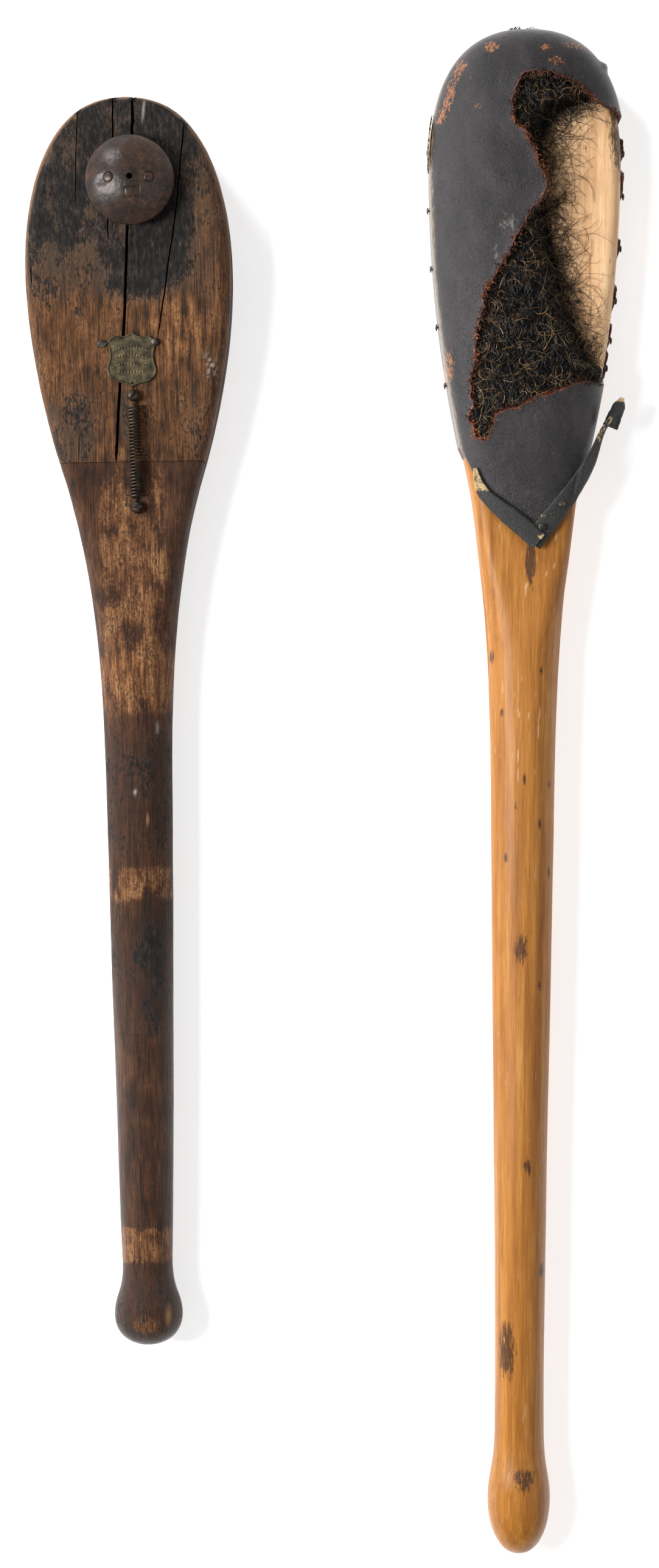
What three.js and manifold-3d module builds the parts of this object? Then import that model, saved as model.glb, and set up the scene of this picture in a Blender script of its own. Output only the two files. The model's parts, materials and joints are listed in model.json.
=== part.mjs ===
// A pair of long-handled wooden lodge paddles, lying side by side and face up, in millimetres.
// +X is to the right, +Y runs from the butts to the heads, and +Z is up, out of their faces.
// The clapper paddle has a hinged front board that a spring holds open. The padded paddle has a
// horsehair pad under torn leather. Each is drawn along Y, with its butt at y = 0, then leaned.
import * as THREE from "three";
import { mergeVertices } from "three/addons/utils/BufferGeometryUtils.js";
import Module from "manifold-3d";

const wasm = await Module();
wasm.setup();

// ---- Driving dimensions ----
const FIT = 0.3; // gap kept between pieces that touch

// Clapper paddle
const CLAPPER_PLACE = { x: -117.4, y: -364, lean: 1.0 };
const CLAPPER_DEPTH = 43;
const CLAPPER_LENGTH = 805.5;
const MAIN_BOARD = 25; // thickness left behind the saw cut
const SAW_CUT = 1;
const SHOULDER_Y = 571; // where the clapper board meets the handle
const CLAPPER_OPEN = 3; // degrees, at rest
const HINGE = { y: SHOULDER_Y + 0.6, z: MAIN_BOARD + SAW_CUT / 2 };
const HINGE_HALF = 23; // half the width of the hinge
const KNUCKLE = { outer: 2.5, bore: 1.5, pin: 1.2, ends: [4.8, 14] };
const LEAF = { length: 16, thick: 1.4 };
const DOME = { x: 3.3, y: 749.8, radius: 28.4, rise: 12, thick: 3, rim: 51 };
const POST = { reach: 12.9, shank: 2.2, radius: 3.2 };
const CHAMBER = { outer: 7, bore: 4.9, plate: 2, halfWidth: 9, halfLength: 22, screwReach: 16 };
const PIN_PLATE = { radius: 15, thick: 1.6, screwReach: 10.5 };
const BADGE = { x: 1.7, y: 637.2, width: 32.6, height: 35.6, thick: 1.2 };
const SPRING = { upper: [2.4, 614], lower: [3.3, 541.5], coil: 3.9, wire: 0.75, turns: 28 };
SPRING.height = 5; // of the coil's middle over the wood
SPRING.loop = 3.2; // radius of the loops round the screws
SPRING.hook = 6.2; // from a screw's middle to the coil's end

// Padded paddle
const PADDED_PLACE = { x: 123, y: -500.4, lean: -0.31 };
const PADDED_LENGTH = 988;
const BULB_DEPTH = 40;
const BOARD_DEPTH = 36; // of the padded paddle's head
const LEATHER = 1.8;
const PAD = 16; // thickest stuffing
const COVER_BACK = 8; // height of the cover's lower edge on the sides
const COVER_SHOULDER = 30; // height where the cover turns from the side to the front
const STRIP = { width: 14, thick: 1.6, lift: 1.8 };

const FRONT = CLAPPER_DEPTH;
const WOOD_EDGE = 9; // rounding of the board edges

// ---- Materials ----
const finish = (color, roughness, metalness = 0) =>
  new THREE.MeshStandardMaterial({ color, roughness, metalness });
const DARK_WOOD = finish(0x4a3225, 0.7);
const PALE_WOOD = finish(0xc98a45, 0.45);
const RUSTY_IRON = finish(0x5a4138, 0.6, 0.8);
const OLD_STEEL = finish(0x4b4541, 0.5, 0.9);
const OLD_BRASS = finish(0x5e5036, 0.5, 0.9);
const BLACK_LEATHER = finish(0x3b3a40, 0.5);
const HORSEHAIR = finish(0x2c241d, 0.95);
const GREY_CLOTH = finish(0x3c3b3a, 0.9);
const STRIP_BLACK = finish(0x2c2d2e, 0.6);

// ---- Helpers ----
const mix = (a, b, t) => a + (b - a) * t;
const smooth = (value, from, to) => THREE.MathUtils.smoothstep(value, from, to);

function solidOf(geometry) {
  const bare = geometry.clone();
  bare.deleteAttribute("normal");
  bare.deleteAttribute("uv");
  const merged = mergeVertices(bare, 1e-4);
  const corners = merged.index.array;
  const kept = [];
  for (let i = 0; i < corners.length; i += 3) {
    const [a, b, c] = corners.slice(i, i + 3);
    if (a !== b && b !== c && c !== a) kept.push(a, b, c);
  }
  const vertProperties = new Float32Array(merged.attributes.position.array);
  const mesh = new wasm.Mesh({ numProp: 3, vertProperties, triVerts: new Uint32Array(kept) });
  return new wasm.Manifold(mesh);
}

function geometryOf(solid) {
  const { vertProperties, triVerts } = solid.getMesh();
  const geometry = new THREE.BufferGeometry();
  geometry.setAttribute("position", new THREE.BufferAttribute(vertProperties, 3));
  geometry.setIndex(new THREE.BufferAttribute(triVerts, 1));
  geometry.computeVertexNormals();
  return geometry;
}

function piece(name, shape, material) {
  const geometry = shape.isBufferGeometry ? geometryOf(solidOf(shape)) : geometryOf(shape);
  const mesh = new THREE.Mesh(geometry, material);
  mesh.name = name;
  return mesh;
}

function box([x0, x1], [y0, y1], [z0, z1]) {
  const shape = new THREE.BoxGeometry(x1 - x0, y1 - y0, z1 - z0);
  return solidOf(shape.translate((x0 + x1) / 2, (y0 + y1) / 2, (z0 + z1) / 2));
}

// A round bar along X, from x0 to x1.
function barX(radius, x0, x1, y, z, sides = 12) {
  const shape = new THREE.CylinderGeometry(radius, radius, x1 - x0, sides);
  return solidOf(shape.rotateZ(Math.PI / 2).translate((x0 + x1) / 2, y, z));
}

// A round piece on an upright axis: the profile's points are [radius, height].
function turned(profile, x, y, z, sides = 12) {
  const points = profile.map(([radius, height]) => new THREE.Vector2(radius, height));
  return solidOf(new THREE.LatheGeometry(points, sides).rotateX(Math.PI / 2).translate(x, y, z));
}

function post(radius, z0, z1, x, y, sides = 12) {
  return turned([[0, z0], [radius, z0], [radius, z1], [0, z1]], x, y, 0, sides);
}

// A flat plate of the shape, z0 to z1.
function plate(shape, z0, z1, curveSegments = 6) {
  const options = { depth: z1 - z0, bevelEnabled: false, curveSegments };
  return solidOf(new THREE.ExtrudeGeometry(shape, options).translate(0, 0, z0));
}

// A bar through a row of rings, lowest y first. A ring's points are [x, z], and start at the
// front and go round toward +X.
function formed(rings) {
  const sides = rings[0].points.length;
  const spans = rings.length - 1;
  const shape = new THREE.CylinderGeometry(1, 1, 1, sides, spans);
  const place = shape.attributes.position;
  for (let i = 0; i < place.count; i++) {
    const [x, y, z] = [place.getX(i), place.getY(i), place.getZ(i)];
    const ring = rings[Math.round((y + 0.5) * spans)];
    const turn = Math.round((Math.atan2(x, z) / (2 * Math.PI)) * sides);
    const point = Math.hypot(x, z) > 0.5 ? ring.points[(turn + sides) % sides] : middle(ring.points);
    place.setXYZ(i, point[0], ring.y, point[1]);
  }
  return solidOf(shape);
}

function middle(points) {
  const sum = points.reduce(([x, z], [px, pz]) => [x + px, z + pz], [0, 0]);
  return sum.map((value) => value / points.length);
}

// A rectangle 2w by 2d about height z, with corners of radius r.
function roundedRing(w, d, r, z, steps = 4) {
  const points = [];
  const corners = [[1, 1], [1, -1], [-1, -1], [-1, 1]];
  corners.forEach(([sx, sz], corner) => {
    for (let k = 0; k <= steps; k++) {
      const angle = ((corner + k / steps) * Math.PI) / 2;
      const x = sx * (w - r) + r * Math.sin(angle);
      points.push([x, z + sz * (d - r) + r * Math.cos(angle)]);
    }
  });
  return points;
}

// How far an edge rounding of radius r draws a face in, at this distance from the end.
function drawnIn(distance, r) {
  return distance < r ? r - Math.sqrt(r * r - (r - distance) ** 2) : 0;
}

// Half widths along a paddle: the outline's points as { y, w }, from the butt to the crown.
function stationsOf(path, steps) {
  const stations = [];
  path.curves.forEach((curve, i) => {
    const points = curve.getPoints(steps[i]);
    stations.push(...points.slice(i ? 1 : 0).map((point) => ({ y: point.y, w: point.x })));
  });
  return stations;
}

// A slotted screw, head up: its head stands on height 0. The tip is length below.
function screw(head, shank, length, x, y, z, slotAngle = 0) {
  const profile = [[0, -length], [shank, 1.5 - length], [shank, 0], [head.radius, 0]];
  profile.push(...head.crown.map(([share, height]) => [head.radius * share, height]));
  const top = head.crown[head.crown.length - 1][1];
  const slot = solidOf(
    new THREE.BoxGeometry(3 * head.radius, 1, 1.2).rotateZ(slotAngle).translate(0, 0, top)
  );
  return turned(profile, 0, 0, 0, 10).subtract(slot).translate([x, y, z]);
}

const ROUND_HEAD = { radius: 3.8, crown: [[0.9, 1.2], [0.6, 2], [0, 2.4]] };
const SMALL_ROUND_HEAD = { radius: 2.6, crown: [[0.85, 0.9], [0.5, 1.4], [0, 1.6]] };

// A countersunk screw with its flat face at height 0, its tip length below.
function flatScrew(x, y, z, length, down = 1) {
  const profile = [[0, -length], [1.4, 1.5 - length], [1.4, -1.6], [2.8, -0.2], [2.8, 0], [0, 0]];
  const slot = solidOf(new THREE.BoxGeometry(8, 0.9, 1));
  const upright = turned(profile, 0, 0, 0, 10).subtract(slot);
  return (down > 0 ? upright : upright.rotate([180, 0, 0])).translate([x, y, z]);
}

// The room a countersunk screw needs.
function flatScrewHole(x, y, z, length, down = 1) {
  const grown = 1.4 + FIT;
  const profile = [[0, -length - FIT], [grown, -length - FIT], [grown, -1.6 - FIT]];
  profile.push([2.8 + FIT, -0.2 - FIT], [2.8 + FIT, 3], [0, 3]);
  const upright = turned(profile, 0, 0, 0, 10);
  return (down > 0 ? upright : upright.rotate([180, 0, 0])).translate([x, y, z]);
}

// ---- Clapper paddle: one blank, cut into the main board and the clapper board ----
function clapperOutline() {
  return new THREE.Path()
    .moveTo(2, 0)
    .bezierCurveTo(11, 0, 22.1, 6, 22.1, 20)
    .bezierCurveTo(22.1, 32, 16, 34, 16.2, 54)
    .bezierCurveTo(18, 110, 19.4, 200, 21.6, 366)
    .bezierCurveTo(22.6, 444, 27.3, 509, 44.6, 564.5)
    .bezierCurveTo(53.4, 592, 66.3, 648, 66.3, 695)
    .bezierCurveTo(66.3, 765, 41, CLAPPER_LENGTH, 2, CLAPPER_LENGTH);
}

function clapperBlank() {
  const half = CLAPPER_DEPTH / 2;
  const rings = stationsOf(clapperOutline(), [4, 4, 4, 6, 6, 9]).map(({ y, w }) => {
    const board = y > 366;
    const depth = board ? half - drawnIn(CLAPPER_LENGTH - y, WOOD_EDGE) : Math.min(w, half);
    const radius = mix(Math.min(w, depth), WOOD_EDGE, smooth(y, 430, 560));
    return { y, points: roundedRing(w, depth, Math.min(w, depth, radius), half) };
  });
  return formed(rings);
}

const hingeScrews = [-9, 9].map((x) => ({ x, y: HINGE.y + 10.5 }));
const across = [-HINGE_HALF - FIT, HINGE_HALF + FIT];
const alongLeaf = [HINGE.y - 0.5, HINGE.y + LEAF.length + FIT];
const knuckleRoom = barX(KNUCKLE.outer + 0.5, ...across, HINGE.y, HINGE.z, 16);

function mainBoard(blank) {
  const cut = box([-100, 100], [SHOULDER_Y, 900], [MAIN_BOARD, 100]);
  const pocket = box(across, alongLeaf, [MAIN_BOARD - LEAF.thick - FIT, MAIN_BOARD + 1]);
  const pinSeat = post(PIN_PLATE.radius + FIT, MAIN_BOARD - PIN_PLATE.thick - FIT, 30, DOME.x, DOME.y, 20);
  const pinBore = post(3 + FIT, 14, 30, DOME.x, DOME.y);
  let board = blank.subtract(cut).subtract(pocket).subtract(knuckleRoom);
  board = board.subtract(pinSeat).subtract(pinBore);
  for (const { x, y } of hingeScrews) board = board.subtract(flatScrewHole(x, y, MAIN_BOARD, 12));
  for (const x of pinPlateScrews) board = board.subtract(flatScrewHole(x, DOME.y, MAIN_BOARD, 12));
  const [screwX, screwY] = SPRING.lower;
  return board.subtract(post(2 + FIT, 30, 50, screwX, screwY));
}

const pinPlateScrews = [-1, 1].map((side) => DOME.x + side * PIN_PLATE.screwReach);
const posts = [-1, 1].map((side) => ({ x: DOME.x + side * POST.reach, y: DOME.y }));
const chamberScrews = [-1, 1].map((side) => DOME.y + side * CHAMBER.screwReach);
const EARS = [[-16.3, 647.5], [16.9, 648.2]];

function clapperBoard(blank) {
  const clearance = FIT + (FRONT - HINGE.z) * Math.sin(THREE.MathUtils.degToRad(CLAPPER_OPEN));
  const back = MAIN_BOARD + SAW_CUT;
  let board = blank.intersect(box([-100, 100], [SHOULDER_Y + clearance, 900], [back, 100]));
  board = board.subtract(box(across, alongLeaf, [back - 1, back + LEAF.thick + FIT]));
  board = board.subtract(knuckleRoom).subtract(post(CHAMBER.outer + FIT, 20, 50, DOME.x, DOME.y, 16));
  for (const { x, y } of hingeScrews) board = board.subtract(flatScrewHole(x, y, back, 12, -1));
  for (const { x, y } of posts) board = board.subtract(post(POST.shank + FIT, 32, 50, x, y));
  for (const y of chamberScrews) board = board.subtract(post(1.5 + FIT, 33, 50, DOME.x, y));
  for (const [x, y] of EARS) board = board.subtract(post(1 + FIT, 33, 50, x, y));
  return board.subtract(post(2 + FIT, 31, 50, ...SPRING.upper));
}

// One leaf: a plate and the knuckles at these spans. The lower leaf lies in the main board.
function hingeLeaf(spans, otherSpans, lower) {
  const z = lower ? MAIN_BOARD - LEAF.thick : MAIN_BOARD + SAW_CUT;
  const half = HINGE_HALF;
  let leaf = box([-half, half], [HINGE.y + 1, HINGE.y + LEAF.length], [z, z + LEAF.thick]);
  for (const [from, to] of spans) leaf = leaf.add(barX(KNUCKLE.outer, from, to, HINGE.y, HINGE.z));
  for (const [from, to] of otherSpans) {
    leaf = leaf.subtract(barX(KNUCKLE.outer + FIT, from - FIT, to + FIT, HINGE.y, HINGE.z));
  }
  leaf = leaf.subtract(barX(KNUCKLE.bore, -half - 1, half + 1, HINGE.y, HINGE.z));
  const face = lower ? MAIN_BOARD : MAIN_BOARD + SAW_CUT;
  for (const { x, y } of hingeScrews) {
    leaf = leaf.subtract(flatScrewHole(x, y, face, 12, lower ? 1 : -1));
  }
  return leaf;
}

function hingePieces() {
  const [inner, outer] = KNUCKLE.ends;
  const lowerSpans = [[-HINGE_HALF, -outer], [-inner, inner], [outer, HINGE_HALF]];
  const upperSpans = [[-outer + FIT, -inner - FIT], [inner + FIT, outer - FIT]];
  return {
    lower: hingeLeaf(lowerSpans, upperSpans, true),
    upper: hingeLeaf(upperSpans, lowerSpans, false),
    pin: barX(KNUCKLE.pin, -HINGE_HALF, HINGE_HALF, HINGE.y, HINGE.z),
  };
}

function firingPinPlate() {
  const { radius, thick } = PIN_PLATE;
  let disc = post(radius, MAIN_BOARD - thick, MAIN_BOARD, DOME.x, DOME.y, 20);
  disc = disc.subtract(post(2 + FIT, 20, 30, DOME.x, DOME.y));
  for (const x of pinPlateScrews) disc = disc.subtract(flatScrewHole(x, DOME.y, MAIN_BOARD, 12));
  return disc;
}

function firingPin() {
  const under = MAIN_BOARD - PIN_PLATE.thick - FIT;
  const tip = MAIN_BOARD + SAW_CUT + 3;
  const profile = [[0, 15], [3, 15], [3, under], [2, under], [2, tip - 1.5], [1, tip], [0, tip]];
  return turned(profile, DOME.x, DOME.y, 0);
}

function cartridgeChamber() {
  const { outer, bore, plate: thick, halfWidth, halfLength } = CHAMBER;
  const bottom = FRONT + FIT;
  const shape = new THREE.Shape()
    .moveTo(-halfWidth, halfWidth - halfLength)
    .absarc(0, halfWidth - halfLength, halfWidth, Math.PI, 2 * Math.PI)
    .absarc(0, halfLength - halfWidth, halfWidth, 0, Math.PI);
  let chamber = plate(shape, bottom, bottom + thick).translate([DOME.x, DOME.y, 0]);
  chamber = chamber.add(post(outer, MAIN_BOARD + SAW_CUT, bottom + thick, DOME.x, DOME.y, 16));
  chamber = chamber.subtract(post(bore, 20, 60, DOME.x, DOME.y, 16));
  for (const y of chamberScrews) chamber = chamber.subtract(post(1.5 + FIT, 40, 50, DOME.x, y));
  return chamber;
}

// Height of a sphere's cap above the rim plane, at this distance from its middle.
function capHeight(distance, rise, radius) {
  const ball = (radius ** 2 + rise ** 2) / (2 * rise);
  return Math.sqrt(ball ** 2 - distance ** 2) - (ball - rise);
}

function blastCap() {
  const { x, y, radius, rise, thick, rim } = DOME;
  const steps = [0.06, 0.25, 0.45, 0.65, 0.82, 0.93, 1];
  const hollow = radius - thick;
  const inside = steps.map((share) => [share * hollow, capHeight(share * hollow, rise - 1, hollow)]);
  const outside = steps.map((share) => [share * radius, capHeight(share * radius, rise, radius) + 2]);
  const profile = [...inside, ...outside.reverse()];
  profile.push(profile[0]);
  let cap = turned(profile, x, y, rim, 28);
  for (const place of posts) cap = cap.subtract(post(POST.radius + FIT, 50, 70, place.x, place.y));
  return cap;
}

function capPost({ x, y }) {
  const top = DOME.rim + 2 + capHeight(POST.reach, DOME.rise, DOME.radius) - 0.3;
  const { shank, radius } = POST;
  const bottom = FRONT + FIT;
  const profile = [[0, 33], [shank, 33], [shank, bottom], [radius, bottom]];
  profile.push([radius, top - 0.6], [radius - 0.8, top], [0, top]);
  return turned(profile, x, y, 0);
}

// The flat lug that keeps the dome from turning: it stands on the chamber plate.
function capLug() {
  const bottom = FRONT + FIT + CHAMBER.plate + FIT;
  const under = DOME.rim + capHeight(12, DOME.rise - 1, DOME.radius - DOME.thick) - FIT;
  return box([DOME.x - 2.6, DOME.x + 6.6], [DOME.y - 12.5, DOME.y - 7], [bottom, under - 0.6]);
}

function badgeOutline() {
  const [w, h] = [BADGE.width / 2, BADGE.height / 2];
  return new THREE.Shape()
    .moveTo(0, h)
    .quadraticCurveTo(-0.3 * w, 0.78 * h, -0.72 * w, 0.86 * h)
    .lineTo(-w, 0.62 * h)
    .quadraticCurveTo(-0.72 * w, 0.2 * h, -0.98 * w, -0.3 * h)
    .bezierCurveTo(-w, -0.9 * h, -0.4 * w, -0.75 * h, 0, -h)
    .bezierCurveTo(0.4 * w, -0.75 * h, w, -0.9 * h, 0.98 * w, -0.3 * h)
    .quadraticCurveTo(0.72 * w, 0.2 * h, w, 0.62 * h)
    .lineTo(0.72 * w, 0.86 * h)
    .quadraticCurveTo(0.3 * w, 0.78 * h, 0, h);
}

function badge() {
  let shield = plate(badgeOutline(), FRONT + FIT, FRONT + FIT + BADGE.thick);
  shield = shield.translate([BADGE.x, BADGE.y, 0]);
  shield = shield.subtract(post(0.8, 40, 50, BADGE.x + 0.4, BADGE.y - 0.8 * BADGE.height / 2, 8));
  for (const [x, y] of EARS) shield = shield.subtract(post(1 + FIT, 40, 50, x, y, 8));
  return shield;
}

function badgeNail([x, y]) {
  const seat = FRONT + FIT + BADGE.thick + FIT;
  const profile = [[0, 34], [1, 35], [1, seat], [2.3, seat], [2.1, seat + 0.8], [0, seat + 1.2]];
  return turned(profile, x, y, 0, 10);
}

// Where a point of the closed clapper board is when the board stands open.
function opened([x, y, z]) {
  const angle = THREE.MathUtils.degToRad(CLAPPER_OPEN);
  const place = new THREE.Vector3(x, y - HINGE.y, z - HINGE.z);
  place.applyAxisAngle(new THREE.Vector3(1, 0, 0), angle);
  return [place.x, place.y + HINGE.y, place.z + HINGE.z];
}

// A loop round a screw, below its head. The coil is on the side that toward says, 1 or -1.
function springLoop([x, y], toward) {
  const { loop } = SPRING;
  return [0, 1, 2, 3, 4, 5, 6].map((k) => {
    const angle = toward * (Math.PI / 2) + (0.25 + k / 4) * Math.PI;
    return [x + loop * Math.cos(angle), y + loop * Math.sin(angle), FRONT + 1.6];
  });
}

function returnSpring() {
  const { lower, upper, coil, wire, turns, height, hook } = SPRING;
  const radius = coil - wire;
  const from = new THREE.Vector3(lower[0], lower[1] + hook, FRONT + height);
  const to = new THREE.Vector3(...opened([upper[0], upper[1] - hook, FRONT + height]));
  const turnSteps = 6;
  const route = springLoop(lower, 1).reverse();
  for (let i = 0; i <= turns * turnSteps; i++) {
    const angle = Math.PI + (i / turnSteps) * 2 * Math.PI; // a turn starts next to the wood
    const centre = from.clone().lerp(to, i / (turns * turnSteps));
    route.push([centre.x + radius * Math.sin(angle), centre.y, centre.z + radius * Math.cos(angle)]);
  }
  route.push(...springLoop(upper, -1).map(opened));
  const curve = new THREE.CatmullRomCurve3(route.map((point) => new THREE.Vector3(...point)));
  const section = new THREE.Shape().absarc(0, 0, wire, 0, 2 * Math.PI);
  const steps = turns * turnSteps + 26;
  const options = { extrudePath: curve, steps, bevelEnabled: false, curveSegments: 2 };
  return solidOf(new THREE.ExtrudeGeometry(section, options));
}

function clapperPaddle() {
  const blank = clapperBlank();
  const hinge = hingePieces();
  const paddle = new THREE.Group();
  const springLow = screw(ROUND_HEAD, 2, 12, ...SPRING.lower, FRONT + 3.4, 0.2);
  paddle.add(
    piece("clapper_paddle_handle_board", mainBoard(blank), DARK_WOOD),
    piece("hinge_lower_leaf", hinge.lower, OLD_STEEL),
    piece("hinge_pin", hinge.pin, OLD_STEEL),
    piece("firing_pin_plate", firingPinPlate(), OLD_STEEL),
    piece("firing_pin", firingPin(), OLD_STEEL),
    piece("spring_screw_lower", springLow, OLD_STEEL),
    piece("return_spring", returnSpring(), OLD_STEEL)
  );
  hingeScrews.forEach(({ x, y }, i) => {
    paddle.add(piece(`hinge_screw_lower_${i + 1}`, flatScrew(x, y, MAIN_BOARD, 11), OLD_STEEL));
  });
  pinPlateScrews.forEach((x, i) => {
    const shape = flatScrew(x, DOME.y, MAIN_BOARD, 11);
    paddle.add(piece(`firing_plate_screw_${i + 1}`, shape, OLD_STEEL));
  });

  // Everything on the clapper board turns about the hinge.
  const swing = new THREE.Group();
  const onBoard = new THREE.Group();
  swing.position.set(0, HINGE.y, HINGE.z);
  swing.rotation.x = THREE.MathUtils.degToRad(CLAPPER_OPEN);
  onBoard.position.set(0, -HINGE.y, -HINGE.z);
  swing.add(onBoard);
  paddle.add(swing);
  const springHigh = screw(ROUND_HEAD, 2, 12, ...SPRING.upper, FRONT + 3.4, 0.9);
  onBoard.add(
    piece("clapper_board", clapperBoard(blank), DARK_WOOD),
    piece("hinge_upper_leaf", hinge.upper, OLD_STEEL),
    piece("cartridge_chamber", cartridgeChamber(), OLD_STEEL),
    piece("blast_cap", blastCap(), RUSTY_IRON),
    piece("cap_lug", capLug(), RUSTY_IRON),
    piece("shield_badge", badge(), OLD_BRASS),
    piece("spring_screw_upper", springHigh, OLD_STEEL)
  );
  const sides = ["left", "right"];
  sides.forEach((side, i) => {
    onBoard.add(
      piece(`cap_post_${side}`, capPost(posts[i]), RUSTY_IRON),
      piece(`badge_nail_${side}`, badgeNail(EARS[i]), OLD_STEEL)
    );
  });
  hingeScrews.forEach(({ x, y }, i) => {
    const shape = flatScrew(x, y, MAIN_BOARD + SAW_CUT, 11, -1);
    onBoard.add(piece(`hinge_screw_upper_${i + 1}`, shape, OLD_STEEL));
  });
  chamberScrews.forEach((y, i) => {
    const seat = FRONT + FIT + CHAMBER.plate + FIT;
    const shape = screw(SMALL_ROUND_HEAD, 1.5, 11, DOME.x, y, seat, 0.6 * i);
    onBoard.add(piece(`chamber_screw_${i + 1}`, shape, OLD_STEEL));
  });
  return paddle;
}

// ---- Padded paddle ----
function paddedOutline() {
  return new THREE.Path()
    .moveTo(2, 0)
    .bezierCurveTo(11, 0, 20.3, 14, 20.3, 36)
    .bezierCurveTo(20.3, 52, 16.2, 56, 16.1, 82)
    .bezierCurveTo(15.6, 150, 17, 230, 20.4, 470)
    .bezierCurveTo(21, 575, 25, 642, 39, 702)
    .bezierCurveTo(49.4, 747, 63.1, 815, 63.1, 905)
    .bezierCurveTo(63.1, 959, 40.5, PADDED_LENGTH, 2, PADDED_LENGTH);
}

const paddedStations = stationsOf(paddedOutline(), [4, 4, 4, 6, 7, 9]);

function paddedHalfWidth(y) {
  const next = paddedStations.findIndex((station) => station.y >= y);
  const [a, b] = [paddedStations[Math.max(next - 1, 0)], paddedStations[Math.max(next, 1)]];
  return mix(a.w, b.w, (y - a.y) / (b.y - a.y));
}

// Half the wood's depth at y: the head is planed thinner than the handle.
const paddedHalfDepth = (y) => mix(BULB_DEPTH, BOARD_DEPTH, smooth(y, 590, 700)) / 2;

function paddedWood(grown) {
  const inset = LEATHER + FIT;
  const rings = paddedStations.map(({ y, w }) => {
    const covered = smooth(y, 640, 700);
    const width = Math.max(w - covered * inset, 2) + grown;
    const end = PADDED_LENGTH - inset;
    const place = Math.min(y, end) + (y > 100 ? grown : 0);
    const half = paddedHalfDepth(y);
    const inward = y > 700 ? drawnIn(Math.max(end - y, 0), 8) : 0;
    const depth = (y > 470 ? half - inward : Math.min(w, half)) + grown;
    const radius = mix(Math.min(width, depth), 8, smooth(y, 570, 680));
    return { y: place, points: roundedRing(width, depth, Math.min(width, depth, radius), half) };
  });
  return formed(rings.filter((ring, i) => !i || ring.y - rings[i - 1].y > 0.2));
}

// The stuffed shape: its side wall is upright, and its front is crowned.
const crownShare = (t) => (1 - Math.min(Math.abs(t), 1) ** 2.5) ** 0.4;

function stuffedHeight(x, y, w, inset) {
  const thick = PAD * smooth(y, 655, 750) + 2;
  const top = 2 * paddedHalfDepth(y) + thick + LEATHER - COVER_SHOULDER;
  const crown = crownShare(x / w) * crownShare(1 - Math.min((PADDED_LENGTH - y) / 42, 1));
  return COVER_SHOULDER + top * crown - inset;
}

function stuffedForm(inset, floor) {
  const count = 6;
  const rings = paddedStations.filter(({ y }) => y > 600).map(({ y, w }) => {
    const half = Math.max(w - inset, 1.5);
    const place = Math.min(y, PADDED_LENGTH - inset);
    const points = [];
    for (let k = 0; k <= count; k++) {
      const x = half * Math.sin(((k / count) * Math.PI) / 2);
      points.push([x, stuffedHeight(x, place, half, inset)]);
    }
    for (let k = count; k >= -count; k--) points.push([(half * k) / count, floor]);
    for (let k = count; k >= 1; k--) {
      const x = -half * Math.sin(((k / count) * Math.PI) / 2);
      points.push([x, stuffedHeight(x, place, half, inset)]);
    }
    return { y: place, points };
  });
  return formed(rings.filter((ring, i) => !i || ring.y - rings[i - 1].y > 0.2));
}

// The cover reaches down to a V on the neck.
function coverRegion() {
  const shape = new THREE.Shape()
    .moveTo(4.4, 664)
    .lineTo(36, 704)
    .quadraticCurveTo(60, 740, 80, 800)
    .lineTo(80, 1000)
    .lineTo(-80, 1000)
    .lineTo(-80, 800)
    .quadraticCurveTo(-50, 735, -32, 696)
    .closePath();
  return plate(shape, 0, 100);
}

// The torn opening, with its right side open over the board's edge.
function tearRegion() {
  const torn = new THREE.Shape()
    .moveTo(80, 931)
    .lineTo(56, 932)
    .splineThru([[48, 934], [32, 947], [13, 955], [-5, 951], [-11, 930], [1, 909], [10, 885]].map(at))
    .splineThru([[2, 866], [-15, 838], [-27, 816], [-33, 789], [-36, 762], [-35.5, 728]].map(at))
    .splineThru([[-28, 721], [-18, 737], [8, 748], [27, 756], [52, 760]].map(at))
    .lineTo(80, 760);
  return plate(torn, 0, 100, 10);
}

const at = ([x, y]) => new THREE.Vector2(x, y);

// The bare wood that the torn-out stuffing leaves.
function bareRegion() {
  const bare = new THREE.Shape()
    .moveTo(80, 940)
    .lineTo(40, 940)
    .splineThru([[16, 940], [14, 915], [24, 880], [26, 840], [34, 800], [44, 772], [60, 764]].map(at))
    .lineTo(80, 764);
  return plate(bare, 0, 100, 10);
}

const PATCH = { x: [-2, 37.5], y: [764.4, 785.6], thick: 1 };

function patchBox(grown) {
  const front = BOARD_DEPTH + FIT;
  const [x0, x1] = PATCH.x;
  const [y0, y1] = PATCH.y;
  const z = [front - grown, front + PATCH.thick + grown];
  return box([x0 - grown, x1 + grown], [y0 - grown, y1 + grown], z);
}

// A strip that follows the cover's front from y0 to y1, about the line x = middleAt(y).
function binding(y0, y1, middleAt) {
  const steps = 7;
  const rings = [];
  for (let i = 0; i <= steps; i++) {
    const y = mix(y0, y1, i / steps);
    const w = paddedHalfWidth(y);
    const [under, over] = [[], []];
    for (let k = -3; k <= 3; k++) {
      const x = middleAt(y) + (k / 6) * STRIP.width;
      const z = stuffedHeight(Math.min(Math.abs(x), 0.8 * w), y, w, 0) + STRIP.lift;
      over.push([x, z + STRIP.thick]);
      under.push([x, z]);
    }
    rings.push({ y, points: [...over.slice(3), ...under.reverse(), ...over.slice(0, 3)] });
  }
  return formed(rings);
}

function looseEnd() {
  const flap = box([-5.2, 5.2], [-10, 10], [0, STRIP.thick]);
  return flap.rotate([0, 0, -22]).translate([59.5, 741, 30]);
}

function nailAt(x, y, z) {
  return turned([[0, -8], [0.8, -7], [0.8, 0], [2.2, 0], [1.8, 0.8], [0, 1.1]], x, y, z, 8);
}

const nailRoom = (x, y) => post(0.8 + FIT, 20, 60, x, y, 8);

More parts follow.
